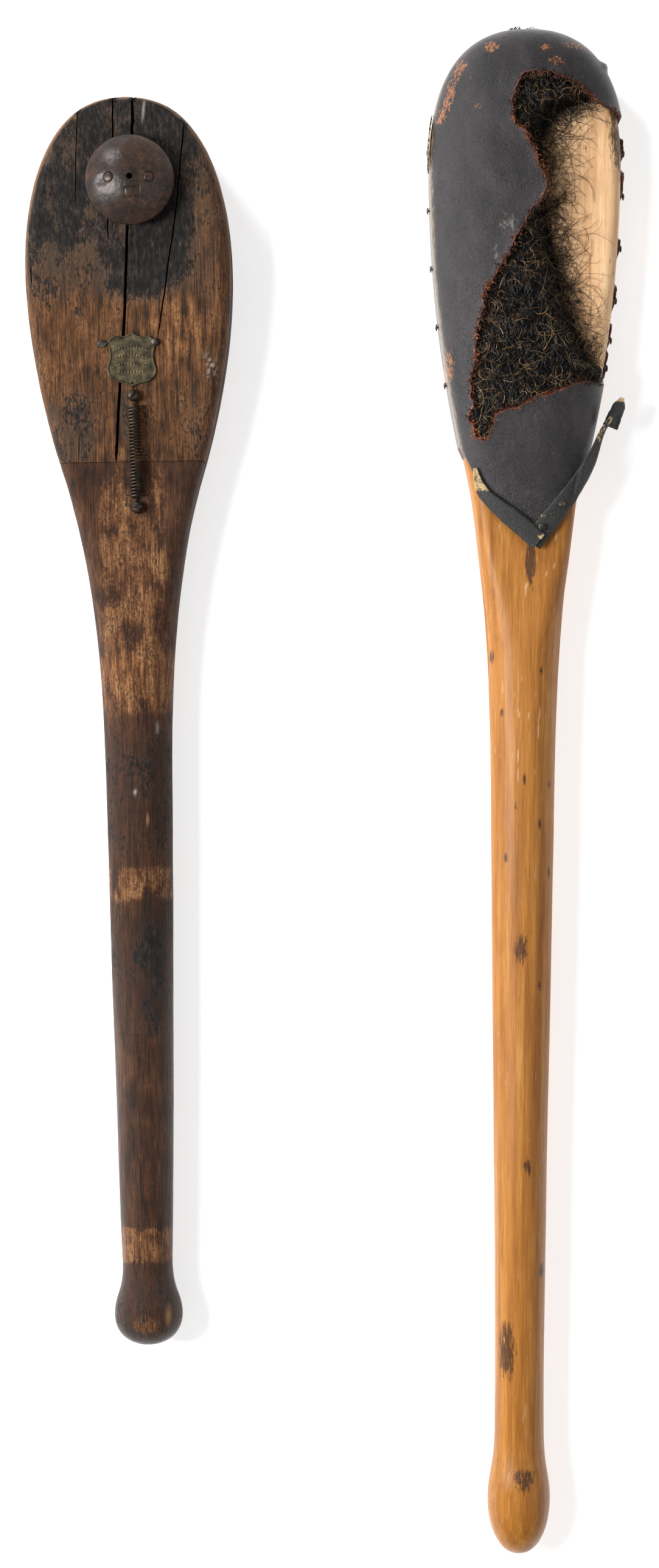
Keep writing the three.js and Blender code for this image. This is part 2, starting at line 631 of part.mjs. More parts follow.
// Side tacks: their heads press the cover on the board's edge.
function tackShape(side, y) {
  const profile = [[0, -7], [0.7, -6], [0.7, 0], [2.4, 0], [1.9, 0.9], [0, 1.3]];
  const place = paddedHalfWidth(y) + 2 * FIT;
  const tack = turned(profile, 0, 0, 0, 8).rotate([0, 90 * side, 0]);
  return tack.translate([side * place, y, 16]);
}

const tackRoom = (side, y) =>
  barX(0.7 + FIT, Math.min(side * 30, side * 70), Math.max(side * 30, side * 70), y, 16, 8);

const TACKS = [[1, [912, 884, 850, 816, 790, 772]], [-1, [912, 874, 836, 798, 760]]];
const LEFT_LINE = (y) => mix(6, -36, (y - 661) / 43);
const RIGHT_LINE = (y) => mix(6, 43, (y - 661) / 58);
const STRIP_NAILS = [[22.8, 680.6], [9.7, 668]];

function paddedPaddle() {
  let wood = paddedWood(0);
  const woodRoom = paddedWood(FIT);
  let cover = stuffedForm(0, COVER_BACK).subtract(stuffedForm(LEATHER, 0)).subtract(woodRoom);
  cover = cover.intersect(coverRegion()).subtract(tearRegion());
  let pad = stuffedForm(LEATHER + FIT, BOARD_DEPTH + FIT).subtract(woodRoom);
  pad = pad.intersect(coverRegion()).subtract(bareRegion()).subtract(patchBox(FIT));
  const strips = {
    left: binding(664, 704, LEFT_LINE),
    right: binding(672, 726, RIGHT_LINE),
  };
  for (const [x, y] of STRIP_NAILS) {
    const room = nailRoom(x, y);
    [wood, cover, pad] = [wood, cover, pad].map((body) => body.subtract(room));
    strips.left = strips.left.subtract(room);
    strips.right = strips.right.subtract(room);
  }
  for (const [side, places] of TACKS) {
    for (const y of places) {
      const room = tackRoom(side, y);
      [wood, cover, pad] = [wood, cover, pad].map((body) => body.subtract(room));
    }
  }
  const paddle = new THREE.Group();
  paddle.add(
    piece("padded_paddle_handle_board", wood, PALE_WOOD),
    piece("horsehair_pad", pad, HORSEHAIR),
    piece("leather_cover", cover, BLACK_LEATHER),
    piece("lining_patch", patchBox(0), GREY_CLOTH),
    piece("binding_strip_left", strips.left, STRIP_BLACK),
    piece("binding_strip_right", strips.right, STRIP_BLACK),
    piece("binding_strip_end", looseEnd(), STRIP_BLACK)
  );
  STRIP_NAILS.forEach(([x, y], i) => {
    const height = stuffedHeight(x, y, paddedHalfWidth(y), 0) + STRIP.lift + STRIP.thick + 3 * FIT;
    paddle.add(piece(`strip_nail_${i + 1}`, nailAt(x, y, height), OLD_STEEL));
  });
  for (const [side, places] of TACKS) {
    const name = side > 0 ? "right" : "left";
    places.forEach((y, i) => {
      paddle.add(piece(`side_tack_${name}_${i + 1}`, tackShape(side, y), OLD_STEEL));
    });
  }
  return paddle;
}

// ---- The pair, centred on the origin and standing on z = 0 ----
function placed(paddle, { x, y, lean }) {
  paddle.position.set(x, y, 0);
  paddle.rotation.z = THREE.MathUtils.degToRad(lean);
  return paddle;
}

const group = new THREE.Group();
group.add(placed(clapperPaddle(), CLAPPER_PLACE), placed(paddedPaddle(), PADDED_PLACE));
const extent = new THREE.Box3().setFromObject(group, true);
group.position.set(-(extent.min.x + extent.max.x) / 2, -(extent.min.y + extent.max.y) / 2, -extent.min.z);

export default group;
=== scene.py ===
"""The looks of a pair of wooden lodge paddles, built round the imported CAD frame.

The clapper paddle has a hinged front board with an iron dome, a brass shield and a spring. The
padded paddle has a horsehair pad under torn leather. Each piece is made in its paddle's own
frame, in millimetres: x across, y from the butt to the head, z up. It is then put in place.
"""

import json
import math

import bpy
import numpy as np
from mathutils import Matrix, Vector


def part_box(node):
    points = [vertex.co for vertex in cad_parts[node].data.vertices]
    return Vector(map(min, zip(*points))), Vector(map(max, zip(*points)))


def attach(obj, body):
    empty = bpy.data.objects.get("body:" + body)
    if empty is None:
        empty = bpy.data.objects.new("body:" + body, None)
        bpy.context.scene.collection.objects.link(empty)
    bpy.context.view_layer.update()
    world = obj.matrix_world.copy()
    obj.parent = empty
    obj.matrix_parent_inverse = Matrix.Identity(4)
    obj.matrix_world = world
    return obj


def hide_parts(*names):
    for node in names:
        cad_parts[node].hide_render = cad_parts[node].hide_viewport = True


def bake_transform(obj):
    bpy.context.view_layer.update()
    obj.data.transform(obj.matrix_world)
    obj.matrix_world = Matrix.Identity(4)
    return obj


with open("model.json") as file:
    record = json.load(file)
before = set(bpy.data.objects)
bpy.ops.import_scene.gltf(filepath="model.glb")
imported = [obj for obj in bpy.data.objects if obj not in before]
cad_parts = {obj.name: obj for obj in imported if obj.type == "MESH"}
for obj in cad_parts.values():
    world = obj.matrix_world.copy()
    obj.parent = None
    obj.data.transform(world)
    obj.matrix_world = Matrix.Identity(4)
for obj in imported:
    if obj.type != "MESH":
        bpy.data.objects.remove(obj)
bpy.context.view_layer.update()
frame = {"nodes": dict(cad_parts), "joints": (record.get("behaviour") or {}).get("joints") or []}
rng = np.random.default_rng(11)
MM = 0.001

# ---- Driving dimensions, in millimetres, as in the CAD ----
CLAPPER_DEPTH = 43.0
FRONT = CLAPPER_DEPTH  # its front face, as it lies on its back
CLAPPER_LENGTH = 805.5
GRIP_END = 366.0
BOARD_CORNER, PADDED_CORNER = 9.0, 8.0  # radii of the heads' edges
MAIN_BOARD = 25.0
SAW_CUT = 1.0
SHOULDER = 571.0
HINGE_Y, HINGE_Z = SHOULDER + 0.6, MAIN_BOARD + SAW_CUT / 2
CLAPPER_OPEN = math.radians(3)
BOARD_START = SHOULDER + 1.2  # the clapper board's lower edge
DOME = {"x": 3.3, "y": 749.8, "radius": 28.4, "rise": 12.0, "rim": 51.0}
DOME_WALL = 2.0
POST_REACH = 12.9
BADGE = {"x": 1.7, "y": 637.2, "width": 32.6, "height": 35.6}
EARS = ((-16.3, 647.5), (16.9, 648.2))
SPRING = {"upper": (2.4, 614.0), "lower": (3.3, 541.5), "coil": 3.9, "wire": 0.75, "turns": 28}
SPRING_HEIGHT, SPRING_HOOK = 5.0, 6.2

PADDED_LEAN = math.radians(-0.31)
PADDED_LENGTH = 988.0
BULB_DEPTH = 40.0
BOARD_DEPTH = 36.0
LEATHER = 1.8
PAD = 16.0
COVER_BACK = 8.0
COVER_SHOULDER = 30.0
COVER_ROOM = 2.1  # how far the wood lies inside the cover
WIDEST = 905.0  # where the padded head is widest
FIT = 0.3


# ---- Small mathematics ----
def smooth(value, low, high):
    t = np.clip((np.asarray(value, float) - low) / (high - low), 0, 1)
    return t * t * (3 - 2 * t)


def lattice(cell, seed):
    """A fixed random number from 0 to 1 for each whole-number cell."""
    c = cell.astype(np.int64)
    h = c[..., 0] * 374761393 + c[..., 1] * 668265263 + c[..., 2] * 2147483647 + seed * 974634777
    h = (h ^ (h >> 13)) * 1274126177 & 0xFFFFFFFF
    h = (h ^ (h >> 16)) * 2246822519 & 0xFFFFFFFF
    return ((h ^ (h >> 15)) & 0xFFFFFF) / 0xFFFFFF


def noise(points, size, seed=0, octaves=3):
    """Smooth noise from -1 to 1, whose largest lumps are about size across, per axis."""
    total, strength, reach = 0.0, 1.0, 0.0
    p = np.asarray(points, float) / np.asarray(size, float) + 1000.0
    for octave in range(octaves):
        cell = np.floor(p)
        f = p - cell
        f = f * f * (3 - 2 * f)
        value = 0.0
        for corner in range(8):
            step = np.array([corner & 1, corner >> 1 & 1, corner >> 2 & 1])
            weight = np.prod(np.where(step, f, 1 - f), axis=-1)
            value = value + weight * lattice(cell + step, seed + octave)
        total = total + strength * (2 * value - 1)
        reach += strength
        strength *= 0.5
        p = p * 2.03
    return total / reach


def curve_chain(start, *spans, steps=60):
    """Points along cubic curves. A span is (handle x, y, handle x, y, end x, y)."""
    t = np.linspace(0, 1, steps)[1:, None]
    points, here = [np.array([start], float)], np.array(start, float)
    for span in spans:
        a, b, c = np.array(span, float).reshape(3, 2)
        points.append(
            (1 - t) ** 3 * here + 3 * t * (1 - t) ** 2 * a + 3 * t * t * (1 - t) * b + t**3 * c
        )
        here = c
    return np.vstack(points)


def smooth_line(points, count):
    """A Catmull-Rom curve of count points, evenly spaced, through the given ones."""
    p = np.asarray(points, float)
    p = np.vstack([2 * p[0] - p[1], p, 2 * p[-1] - p[-2]])
    t = np.linspace(0, 1, 12, endpoint=False)[:, None]
    out = []
    for a, b, c, d in zip(p, p[1:], p[2:], p[3:]):
        cubic = 2 * b + (c - a) * t + (2 * a - 5 * b + 4 * c - d) * t**2
        out.append(0.5 * (cubic + (3 * b - a - 3 * c + d) * t**3))
    return resampled(np.vstack(out + [p[-2:-1]]), count)


def resampled(line, count, closed=False):
    along = np.r_[0, np.cumsum(np.linalg.norm(np.diff(line, axis=0), axis=1))]
    places = np.linspace(0, along[-1], count, endpoint=not closed)
    return np.stack([np.interp(places, along, line[:, k]) for k in range(line.shape[1])], 1)


def blot(x, y, cx, cy, rx, ry):
    """1 in the middle of a soft oval spot, falling to 0 outside it."""
    return np.exp(-((((x - cx) / rx) ** 2 + ((y - cy) / ry) ** 2) ** 1.5))


def blots(x, y, *spots):
    """A sum of soft oval spots, each (strength, middle x, middle y, half width, half length)."""
    return sum(strength * blot(x, y, *spot) for strength, *spot in spots)


def band(y, low, high, soft):
    """1 between low and high, with soft ends."""
    return smooth(y, low - soft, low + soft) * (1 - smooth(y, high - soft, high + soft))


def bands(y, *parts):
    """A sum of bands, each (strength, low, high, soft)."""
    return sum(strength * band(y, *part) for strength, *part in parts)


def mix(a, b, t):
    return a + (b - a) * t


def left_of(line):
    """The unit vector to the left at each point of a line."""
    along = np.gradient(line, axis=0)
    return np.stack([-along[:, 1], along[:, 0]], 1) / np.linalg.norm(along, axis=1)[:, None]


def distance_to(line, x, y):
    """Distance from each (x, y) to a line of points."""
    a, b = line[:-1], line[1:]
    ab = b - a
    best = np.full(x.shape, 1e9)
    for (ax, ay), (dx, dy) in zip(a, ab):
        t = np.clip(((x - ax) * dx + (y - ay) * dy) / (dx * dx + dy * dy + 1e-12), 0, 1)
        best = np.minimum(best, np.hypot(x - ax - t * dx, y - ay - t * dy))
    return best


def inside(line, x, y):
    """Whether each (x, y) is inside the closed outline."""
    result = np.zeros(x.shape, bool)
    for (ax, ay), (bx, by) in zip(line, np.roll(line, -1, 0)):
        crosses = (ay > y) != (by > y)
        with np.errstate(divide="ignore", invalid="ignore"):
            result ^= crosses & (x < (bx - ax) * (y - ay) / (by - ay) + ax)
    return result


# ---- Frames ----
hinge = next(j for j in frame["joints"] if j["name"] == "clapper_hinge")
HINGE_AXIS = Vector(hinge["axis"])
CLAPPER_LEAN = math.atan2(-HINGE_AXIS.y, -HINGE_AXIS.x)


def scaled_frame(place, lean):
    turn = Matrix.Rotation(lean, 4, "Z")
    return Matrix.Translation(place) @ turn @ Matrix.Scale(MM, 4)


_hinge_offset = Matrix.Rotation(CLAPPER_LEAN, 3, "Z") @ Vector((0, HINGE_Y, HINGE_Z)) * MM
CLAPPER = scaled_frame(Vector(hinge["pos_m"]) - _hinge_offset, CLAPPER_LEAN)
_pivot = Matrix.Translation((0, HINGE_Y, HINGE_Z))
OPEN_BOARD = CLAPPER @ _pivot @ Matrix.Rotation(CLAPPER_OPEN, 4, "X") @ _pivot.inverted()
_low, _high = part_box("padded_paddle_handle_board")
_butt_x = (_low.x + _high.x) / 2 + math.sin(PADDED_LEAN) * WIDEST * MM
PADDED = scaled_frame(Vector((_butt_x, _low.y, 0)), PADDED_LEAN)
PLACES = {"root": CLAPPER, "clapper": OPEN_BOARD, "padded_paddle": PADDED}


def placed(x, y, z, degrees=0.0, axis="Z"):
    return Matrix.Translation((x, y, z)) @ Matrix.Rotation(math.radians(degrees), 4, axis)


# ---- Meshes ----
def mesh_object(name, points, faces):
    mesh = bpy.data.meshes.new(name)
    mesh.from_pydata(np.asarray(points, float).tolist(), [], faces)
    mesh.update()
    made = bpy.data.objects.new(name, mesh)
    bpy.context.scene.collection.objects.link(made)
    return made


def quads(rows, columns, closed=True):
    """Faces between rows of points, each row a ring when closed."""
    last = columns if closed else columns - 1
    j = np.arange(last)
    after = (j + 1) % columns
    faces = []
    for i in range(rows - 1):
        a, b = i * columns, (i + 1) * columns
        faces += np.stack([a + j, a + after, b + after, b + j], 1).tolist()
    return faces


def outward(points, faces):
    """The closed faces, turned round where they face inward."""
    p = np.asarray(points, float)
    first = faces[0][0]
    volume = 0.0
    for size in (3, 4):
        f = np.array([face for face in faces if len(face) == size], int)
        if len(f):
            for k in range(1, size - 1):
                a, b, c = p[f[:, 0]], p[f[:, k]], p[f[:, k + 1]]
                volume += np.einsum("ij,ij->i", a - p[first], np.cross(b - p[first], c - p[first])).sum()
    return faces if volume > 0 else [face[::-1] for face in faces]


def loft(name, rings):
    """A closed body through rings of points (rows, columns, 3), with fans at both ends."""
    rings = np.asarray(rings, float)
    rows, columns, _ = rings.shape
    points = np.vstack([rings.reshape(-1, 3), rings[0].mean(0), rings[-1].mean(0)])
    faces = quads(rows, columns)
    first, last = rows * columns, rows * columns + 1
    top = (rows - 1) * columns
    for j in range(columns):
        after = (j + 1) % columns
        faces += [[first, after, j], [last, top + j, top + after]]
    return mesh_object(name, points, outward(points, faces))


def thick_sheet(name, over, under):
    """A closed sheet between two grids of points (rows, columns, 3)."""
    over, under = np.asarray(over, float), np.asarray(under, float)
    rows, columns, _ = over.shape
    n = rows * columns
    grid = quads(rows, columns, closed=False)
    faces = grid + [[n + v for v in face[::-1]] for face in grid]
    at = np.arange(n).reshape(rows, columns)
    rim = np.r_[at[0], at[1:, -1], at[-1, -2::-1], at[-2:0:-1, 0]].tolist()
    for a, b in zip(rim, rim[1:] + rim[:1]):
        faces.append([b, a, n + a, n + b])
    points = np.vstack([over.reshape(-1, 3), under.reshape(-1, 3)])
    return mesh_object(name, points, outward(points, faces))


def prism(outline, low, high):
    """An upright body over a closed outline of (x, y), which may be hollowed."""
    n = len(outline)
    points = [(x, y, z) for z in (low, high) for x, y in outline]
    area = sum(a[0] * b[1] - b[0] * a[1] for a, b in zip(outline, np.roll(outline, -1, 0)))
    bottom, top = [*range(n)][::-1], [*range(n, 2 * n)]
    walls = [[i, (i + 1) % n, n + (i + 1) % n, n + i] for i in range(n)]
    faces = [bottom, top, *walls]
    return mesh_object("prism", points, faces if area > 0 else [face[::-1] for face in faces])


def lathe(name, profile, sides=64, centre=(0, 0, 0)):
    """A turned body about an upright axis; the profile is (radius, height), low end first."""
    profile = np.asarray(profile, float)
    turn = np.linspace(0, 2 * np.pi, sides, endpoint=False)
    ring = np.stack([np.cos(turn), np.sin(turn)], 1)
    rows = []
    for radius, height in profile:
        rows.append(np.column_stack([ring * max(radius, 1e-3), np.full(sides, height)]) + centre)
    return loft(name, rows)


def tubes(name, paths, radius, sides=3):
    """Many thin tubes in one mesh: paths (count, steps, 3), radius one per path."""
    paths = np.asarray(paths, float)
    count, steps, _ = paths.shape
    along = np.gradient(paths, axis=1)
    along /= np.linalg.norm(along, axis=2, keepdims=True) + 1e-9
    up = np.where(np.abs(along[..., 2:]) < 0.9, (0.0, 0.0, 1.0), (1.0, 0.0, 0.0))
    side = np.cross(along, up)
    side /= np.linalg.norm(side, axis=2, keepdims=True) + 1e-9
    other = np.cross(along, side)
    taper = np.ones(steps)
    taper[0] = taper[-1] = 0.35
    size = (np.asarray(radius, float).reshape(-1, 1) * taper)[..., None, None]
    turn = np.linspace(0, 2 * np.pi, sides, endpoint=False)[:, None]
    ring = side[:, :, None] * np.cos(turn) + other[:, :, None] * np.sin(turn)
    points = (paths[:, :, None] + size * ring).reshape(-1, 3)
    pattern = quads(steps, sides)
    top = (steps - 1) * sides
    pattern += [[*range(sides)][::-1], [*range(top, top + sides)]]
    faces = []
    for k in range(count):
        shift = k * steps * sides
        faces += [[shift + v for v in face] for face in pattern]
    return mesh_object(name, points, faces)


def coordinates(obj, kind="co"):
    """The object's points, or its normals."""
    values = np.empty(len(obj.data.vertices) * 3)
    obj.data.vertices.foreach_get(kind, values)
    return values.reshape(-1, 3)


def move_to(obj, points):
    obj.data.vertices.foreach_set("co", np.ascontiguousarray(points, float).ravel())
    obj.data.update()


def push(obj, amount):
    """Moves each point along its normal by amount(points)."""
    points = coordinates(obj)
    move_to(obj, points + coordinates(obj, "normal") * np.reshape(amount(points), (-1, 1)))


def carve(obj, *cutters):
    """Cuts the closed cutters out of the closed body, and deletes them."""
    for cutter in cutters:
        cut = obj.modifiers.new("cut", "BOOLEAN")
        cut.operation = "DIFFERENCE"
        cut.solver = "MANIFOLD"
        cut.object = cutter
    depsgraph = bpy.context.evaluated_depsgraph_get()
    mesh = bpy.data.meshes.new_from_object(obj.evaluated_get(depsgraph))
    obj.modifiers.clear()
    obj.data = mesh
    for cutter in cutters:
        bpy.data.objects.remove(cutter, do_unlink=True)


def store(mesh, name, values):
    """Keeps a number or a place for each point, under the name that the looks read."""
    kind, key = ("FLOAT_VECTOR", "vector") if np.ndim(values) == 2 else ("FLOAT", "value")
    mesh.attributes.new(name, kind, "POINT").data.foreach_set(key, np.ravel(values))


def finish_piece(obj, body, slot, *nodes, paint=None, sharp=35, look=None):
    """Puts a piece made in millimetres in place, with its masks, look, body, slot and nodes."""
    mesh = obj.data
    points = coordinates(obj)
    store(mesh, "local", points)
    for name, values in (paint(points, coordinates(obj, "normal")) if paint else {}).items():
        store(mesh, name, np.broadcast_to(values, len(points)).astype(float))
    mesh.transform(PLACES.get(body, CLAPPER))
    mesh.shade_smooth()
    mesh.set_sharp_from_angle(angle=math.radians(sharp))
    mesh.materials.clear()
    mesh.materials.append(LOOKS[look or slot])
    if body:
        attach(obj, body)
    if nodes:
        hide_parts(*nodes)


# ---- Materials ----
def rgb(code):
    """A linear colour from a hexadecimal sRGB one."""
    parts = [int(code[k : k + 2], 16) / 255 for k in (1, 3, 5)]
    return (*[p / 12.92 if p <= 0.04045 else ((p + 0.055) / 1.055) ** 2.4 for p in parts], 1.0)


class Look:
    """A node material under construction, with its colour so far.

    A value may be a number, a hexadecimal colour or a socket. In cover and around, a name is a mask.
    """

    def __init__(self, name, **shader):
        self.material = bpy.data.materials.new(name)
        self.material.use_nodes = True
        self.tree = self.material.node_tree
        self.shader = self.tree.nodes["Principled BSDF"]
        self.where = self.mask("local", "Vector")
        for key, value in shader.items():
            self.put(self.shader, key.replace("_", " ").title().replace("Ior", "IOR"), value)

    def add(self, kind, inputs=(), **settings):
        """A node with its settings, and with its inputs by name or number."""
        node = self.tree.nodes.new("ShaderNode" + kind)
        for key, value in settings.items():
            setattr(node, key, value)
        for key, value in dict(inputs).items():
            self.put(node, key, value)
        return node

    def put(self, node, key, value):
        if isinstance(value, bpy.types.NodeSocket):
            self.tree.links.new(value, node.inputs[key])
        else:
            node.inputs[key].default_value = rgb(value) if isinstance(value, str) else value

    def mask(self, name, output="Fac"):
        return self.add("Attribute", attribute_name=name).outputs[output]

    def texture(self, kind, size, stretch=1.0, shift=0.0, inputs=(), **settings):
        """A texture in lumps about size mm across, and stretch times longer in y."""
        scale = (1 / size, 1 / (size * stretch), 1 / size)
        place = (shift, shift * 1.7, shift * 0.6)
        mapping = self.add("Mapping", {"Vector": self.where, "Scale": scale, "Location": place})
        inputs = {"Vector": mapping.outputs["Vector"], "Scale": 1.0, **dict(inputs)}
        return self.add("Tex" + kind, inputs, **settings).outputs

    def noise(self, size, stretch=1.0, detail=4, rough=0.55, shift=0.0):
        """Noise from 0 to 1."""
        inputs = {"Detail": detail, "Roughness": rough}
        return self.texture("Noise", size, stretch, shift, inputs)["Fac"]

    def math(self, operation, a, b):
        return self.add("Math", {0: a, 1: b}, operation=operation).outputs[0]

    def step(self, value, low, high):
        """0 below low, 1 above high, and smooth between."""
        inputs = {"Value": value, "From Min": low, "From Max": high}
        return self.add("MapRange", inputs, interpolation_type="SMOOTHSTEP").outputs["Result"]

    def span(self, value, low, high):
        """A 0 to 1 value, spread from low to high."""
        return self.add("MapRange", {"Value": value, "To Min": low, "To Max": high}).outputs["Result"]

    def mix(self, factor, a, b):
        return self.add("Mix", {0: factor, 6: a, 7: b}, data_type="RGBA").outputs[2]

    def ramp(self, value, *stops):
        """A colour ramp: stops are (place, hexadecimal colour)."""
        node = self.add("ValToRGB", {"Fac": value})
        elements = node.color_ramp.elements
        while len(elements) < len(stops):
            elements.new(0.5)
        for element, (place, code) in zip(elements, stops):
            element.position = place
            element.color = rgb(code)
        return node.outputs["Color"]

    def around(self, value, *parts):
        """The value, or the mask of that name, broken up by (noise, strength) parts."""
        value = self.mask(value) if isinstance(value, str) else value
        for part, strength in parts:
            part = self.math("MULTIPLY", self.math("SUBTRACT", part, 0.5), strength)
            value = self.math("ADD", value, part)
        return value

    def cover(self, top, value, low=None, high=None, amount=None):
        """Lays a colour over the one so far, where the value or mask passes from low to high."""
        value = self.around(value)
        if high is not None:
            value = self.step(value, low, high)
        if amount is not None:
            value = self.math("MULTIPLY", value, amount)
        self.colour = self.mix(value, self.colour, top)

    def polished(self, roughness, amount):
        """The roughness, less the amount where the gloss mask is 1."""
        return self.math("SUBTRACT", roughness, self.math("MULTIPLY", self.mask("gloss"), amount))

    def done(self, roughness, *bumps):
        """The material, with bumps of (height, depth in mm), one on another."""
        under = {}
        for height, depth in bumps:
            node = self.add("Bump", {"Height": height, "Distance": depth * MM, **under})
            under = {"Normal": node.outputs["Normal"]}
        for key, value in {"Base Color": self.colour, "Roughness": roughness, **under}.items():
            self.put(self.shader, key, value)
        return self.material


# ---- The looks of each material ----
def dark_wood(name, base, light, deep, smoky, specular, spread):
    """Old oiled hardwood, with soot and wear where the masks say."""
    look = Look(name, specular_ior_level=specular)
    fibre = look.noise(0.8, stretch=26, detail=6, rough=0.65)
    streak = look.noise(4.0, stretch=9, detail=5, rough=0.65, shift=3)
    blotch = look.noise(13, stretch=1.8, detail=7, rough=0.7, shift=8)
    fleck = look.noise(1.2, stretch=2.4, detail=6, rough=0.8, shift=14)
    line = look.noise(1.1, stretch=60, detail=3, shift=30)
    film = look.noise(2.2, stretch=3, detail=7, rough=0.8, shift=21)
    tone = look.around(fibre, (streak, 0.8), (blotch, 1.1))
    look.colour = look.ramp(tone, (0.5 - spread, deep), (0.5, base), (0.5 + spread, light))
    rubbed = look.ramp(tone, (0.34, "#4e2f1a"), (0.52, "#805331"), (0.7, "#a87b50"))
    look.cover(rubbed, look.around("worn", (fleck, 2.4), (blotch, 2.2)), 0.4, 0.75)
    look.cover("#1c1512", look.around(fleck, (blotch, 0.7)), 0.53, 0.61, 0.8)
    look.cover("#17110e", line, 0.64, 0.68, 0.85)
    look.cover(smoky, "soot", 0.1, 0.7, 0.6)
    grime = look.around("soot", (fleck, 2.2), (blotch, 2.6))
    soot = look.ramp(film, (0.36, "#0f0d0d"), (0.5, "#201e1d"), (0.6, "#352f2b"), (0.68, "#5f5042"))
    look.cover(soot, grime, 0.36, 0.74)
    look.cover("#77573d", look.around("edge", (fleck, 2.0)), 0.5, 0.8)
    # Painted shade: the insides of the cracks near-black.
    look.cover("#070605", "crack")
    look.cover(look.mix(fibre, "#9a6a3e", "#bd9268"), "chip")
    look.cover("#aaa69e", "pale")
    rough = look.polished(look.span(look.step(grime, 0.3, 0.8), 0.58, 0.72), 0.34)
    return look.done(rough, (fibre, 0.5), (fleck, 0.6), (blotch, 0.5), (line, 0.4))


def varnished_wood():
    look = Look("varnished_wood", specular_ior_level=0.28, coat_weight=0.06, coat_roughness=0.2)
    fibre = look.noise(0.7, stretch=34, detail=6, rough=0.65)
    streak = look.noise(4.2, stretch=26, detail=5, shift=5)
    blotch = look.noise(12, stretch=3, detail=6, rough=0.65, shift=9)
    fleck = look.noise(1.2, stretch=7, detail=5, rough=0.75, shift=17)
    tone = look.math("ADD", look.math("MULTIPLY", fibre, 0.45), look.math("MULTIPLY", streak, 0.55))
    look.colour = look.ramp(tone, (0.34, "#84501b"), (0.5, "#a66a28"), (0.66, "#bf853e"))
    look.cover("#966029", blotch, 0.5, 0.7, 0.4)
    look.cover(look.ramp(tone, (0.34, "#cb9766"), (0.5, "#e0b487"), (0.66, "#eecba0")), "bare")
    # Dark stains and specks, and painted shade along the bare wood's right edge.
    look.cover("#432818", look.around("stain_and_shade", (fleck, 2.2)), 0.4, 0.75, 0.9)
    look.cover("#6b431f", fleck, 0.66, 0.72, 0.6)
    # Painted shade: darker down the handle's right side and beside the stuffing.
    look.cover("#8a5a36", "painted_shade", amount=0.8)
    look.cover("#dcc39d", "scratch")
    return look.done(look.polished(look.span(blotch, 0.45, 0.65), 0.27), (fibre, 0.22), (fleck, 0.12))


def cover_leather():
    look = Look("cover_leather", specular_ior_level=0.45)
    crease = look.texture("Voronoi", 0.9, feature="DISTANCE_TO_EDGE")["Distance"]
    crackle = look.noise(1.1, stretch=1.8, detail=6, rough=0.7)
    blotch = look.noise(16, stretch=2, detail=6, rough=0.65, shift=4)
    fine = look.noise(0.5, stretch=3.0, detail=4, shift=11)
    scuff = look.noise(2.4, stretch=2.5, detail=6, rough=0.75, shift=19)
    look.colour = look.ramp(blotch, (0.36, "#130f11"), (0.5, "#1e191b"), (0.64, "#2e272a"))
    look.cover("#5a565a", fine, 0.52, 0.7, 0.35)
    look.cover("#77757a", scuff, 0.66, 0.72, 0.5)
    rubbed = look.ramp(crackle, (0.3, "#3b3330"), (0.6, "#7d6a50"))
    look.cover(rubbed, look.around("edge", (scuff, 3.2)), 0.5, 0.8)
    suede = look.ramp(crackle, (0.3, "#5a3420"), (0.5, "#8c5630"), (0.7, "#b07c50"))
    worn = look.around("worn", (scuff, 3.2), (crackle, 2.2))
    look.cover(suede, worn, 0.5, 0.66, look.step(look.mask("worn"), 0.1, 0.34))
    look.cover(look.ramp(crackle, (0.3, "#2e170d"), (0.6, "#6e3519")), "under")
    # Pale scuffs, and a painted highlight in pale specks down the left side.
    look.cover("#8f8980", look.around("pale", (scuff, 2)), 0.5, 0.85, 0.6)
    dry = look.math("ADD", look.mask("under"), look.math("MULTIPLY", crackle, 0.55))
    bumps = ((crease, 0.3), (crackle, 0.34), (fine, 0.16), (scuff, 0.25))
    return look.done(look.span(dry, 0.2, 0.55), *bumps)


def strip_leather():
    look = Look("strip_leather", specular_ior_level=0.45)
    grain = look.noise(0.9, stretch=1.5, detail=6, rough=0.7)
    scuff = look.noise(2.8, stretch=1.2, detail=6, rough=0.75, shift=6)
    look.colour = look.ramp(grain, (0.34, "#161617"), (0.5, "#232423"), (0.66, "#42403c"))
    fluff = look.ramp(grain, (0.3, "#8a6b43"), (0.5, "#b3966a"), (0.7, "#d0bb96"))
    look.cover(fluff, look.around("torn", (scuff, 2.4)), 0.55, 0.7)
    return look.done(look.span(grain, 0.42, 0.8), (grain, 0.3), (scuff, 0.4))


def rusty_iron():
    look = Look("rusty_iron", metallic=0.75, coat_weight=0.55, coat_roughness=0.34)
    rust = look.noise(7, detail=7, rough=0.7)
    pit = look.noise(0.7, detail=5, rough=0.75, shift=5)
    fleck = look.noise(1.8, detail=6, rough=0.75, shift=12)
    stops = ((0.34, "#1c1512"), (0.46, "#33261e"), (0.56, "#4a3425"), (0.68, "#6b4a31"))
    look.colour = look.ramp(rust, *stops)
    look.cover("#1d1817", fleck, 0.5, 0.62, 0.75)
    look.cover("#8a6246", pit, 0.64, 0.72, 0.5)
    look.cover("#4f2d1b", "rust")
    return look.done(look.span(fleck, 0.28, 0.68), (pit, 0.8), (fleck, 1.6))


def old_metal(name, dark, middle, light, rough, metal=0.85):
    look = Look(name, metallic=metal)
    film = look.noise(5.5, detail=6, rough=0.6)
    pit = look.noise(0.6, detail=4, shift=7)
    look.colour = look.ramp(film, (0.32, dark), (0.5, middle), (0.68, light))
    look.cover(dark, pit, 0.6, 0.7, 0.5)
    return look.done(look.span(film, rough, rough + 0.25), (pit, 0.12), (film, 0.15))


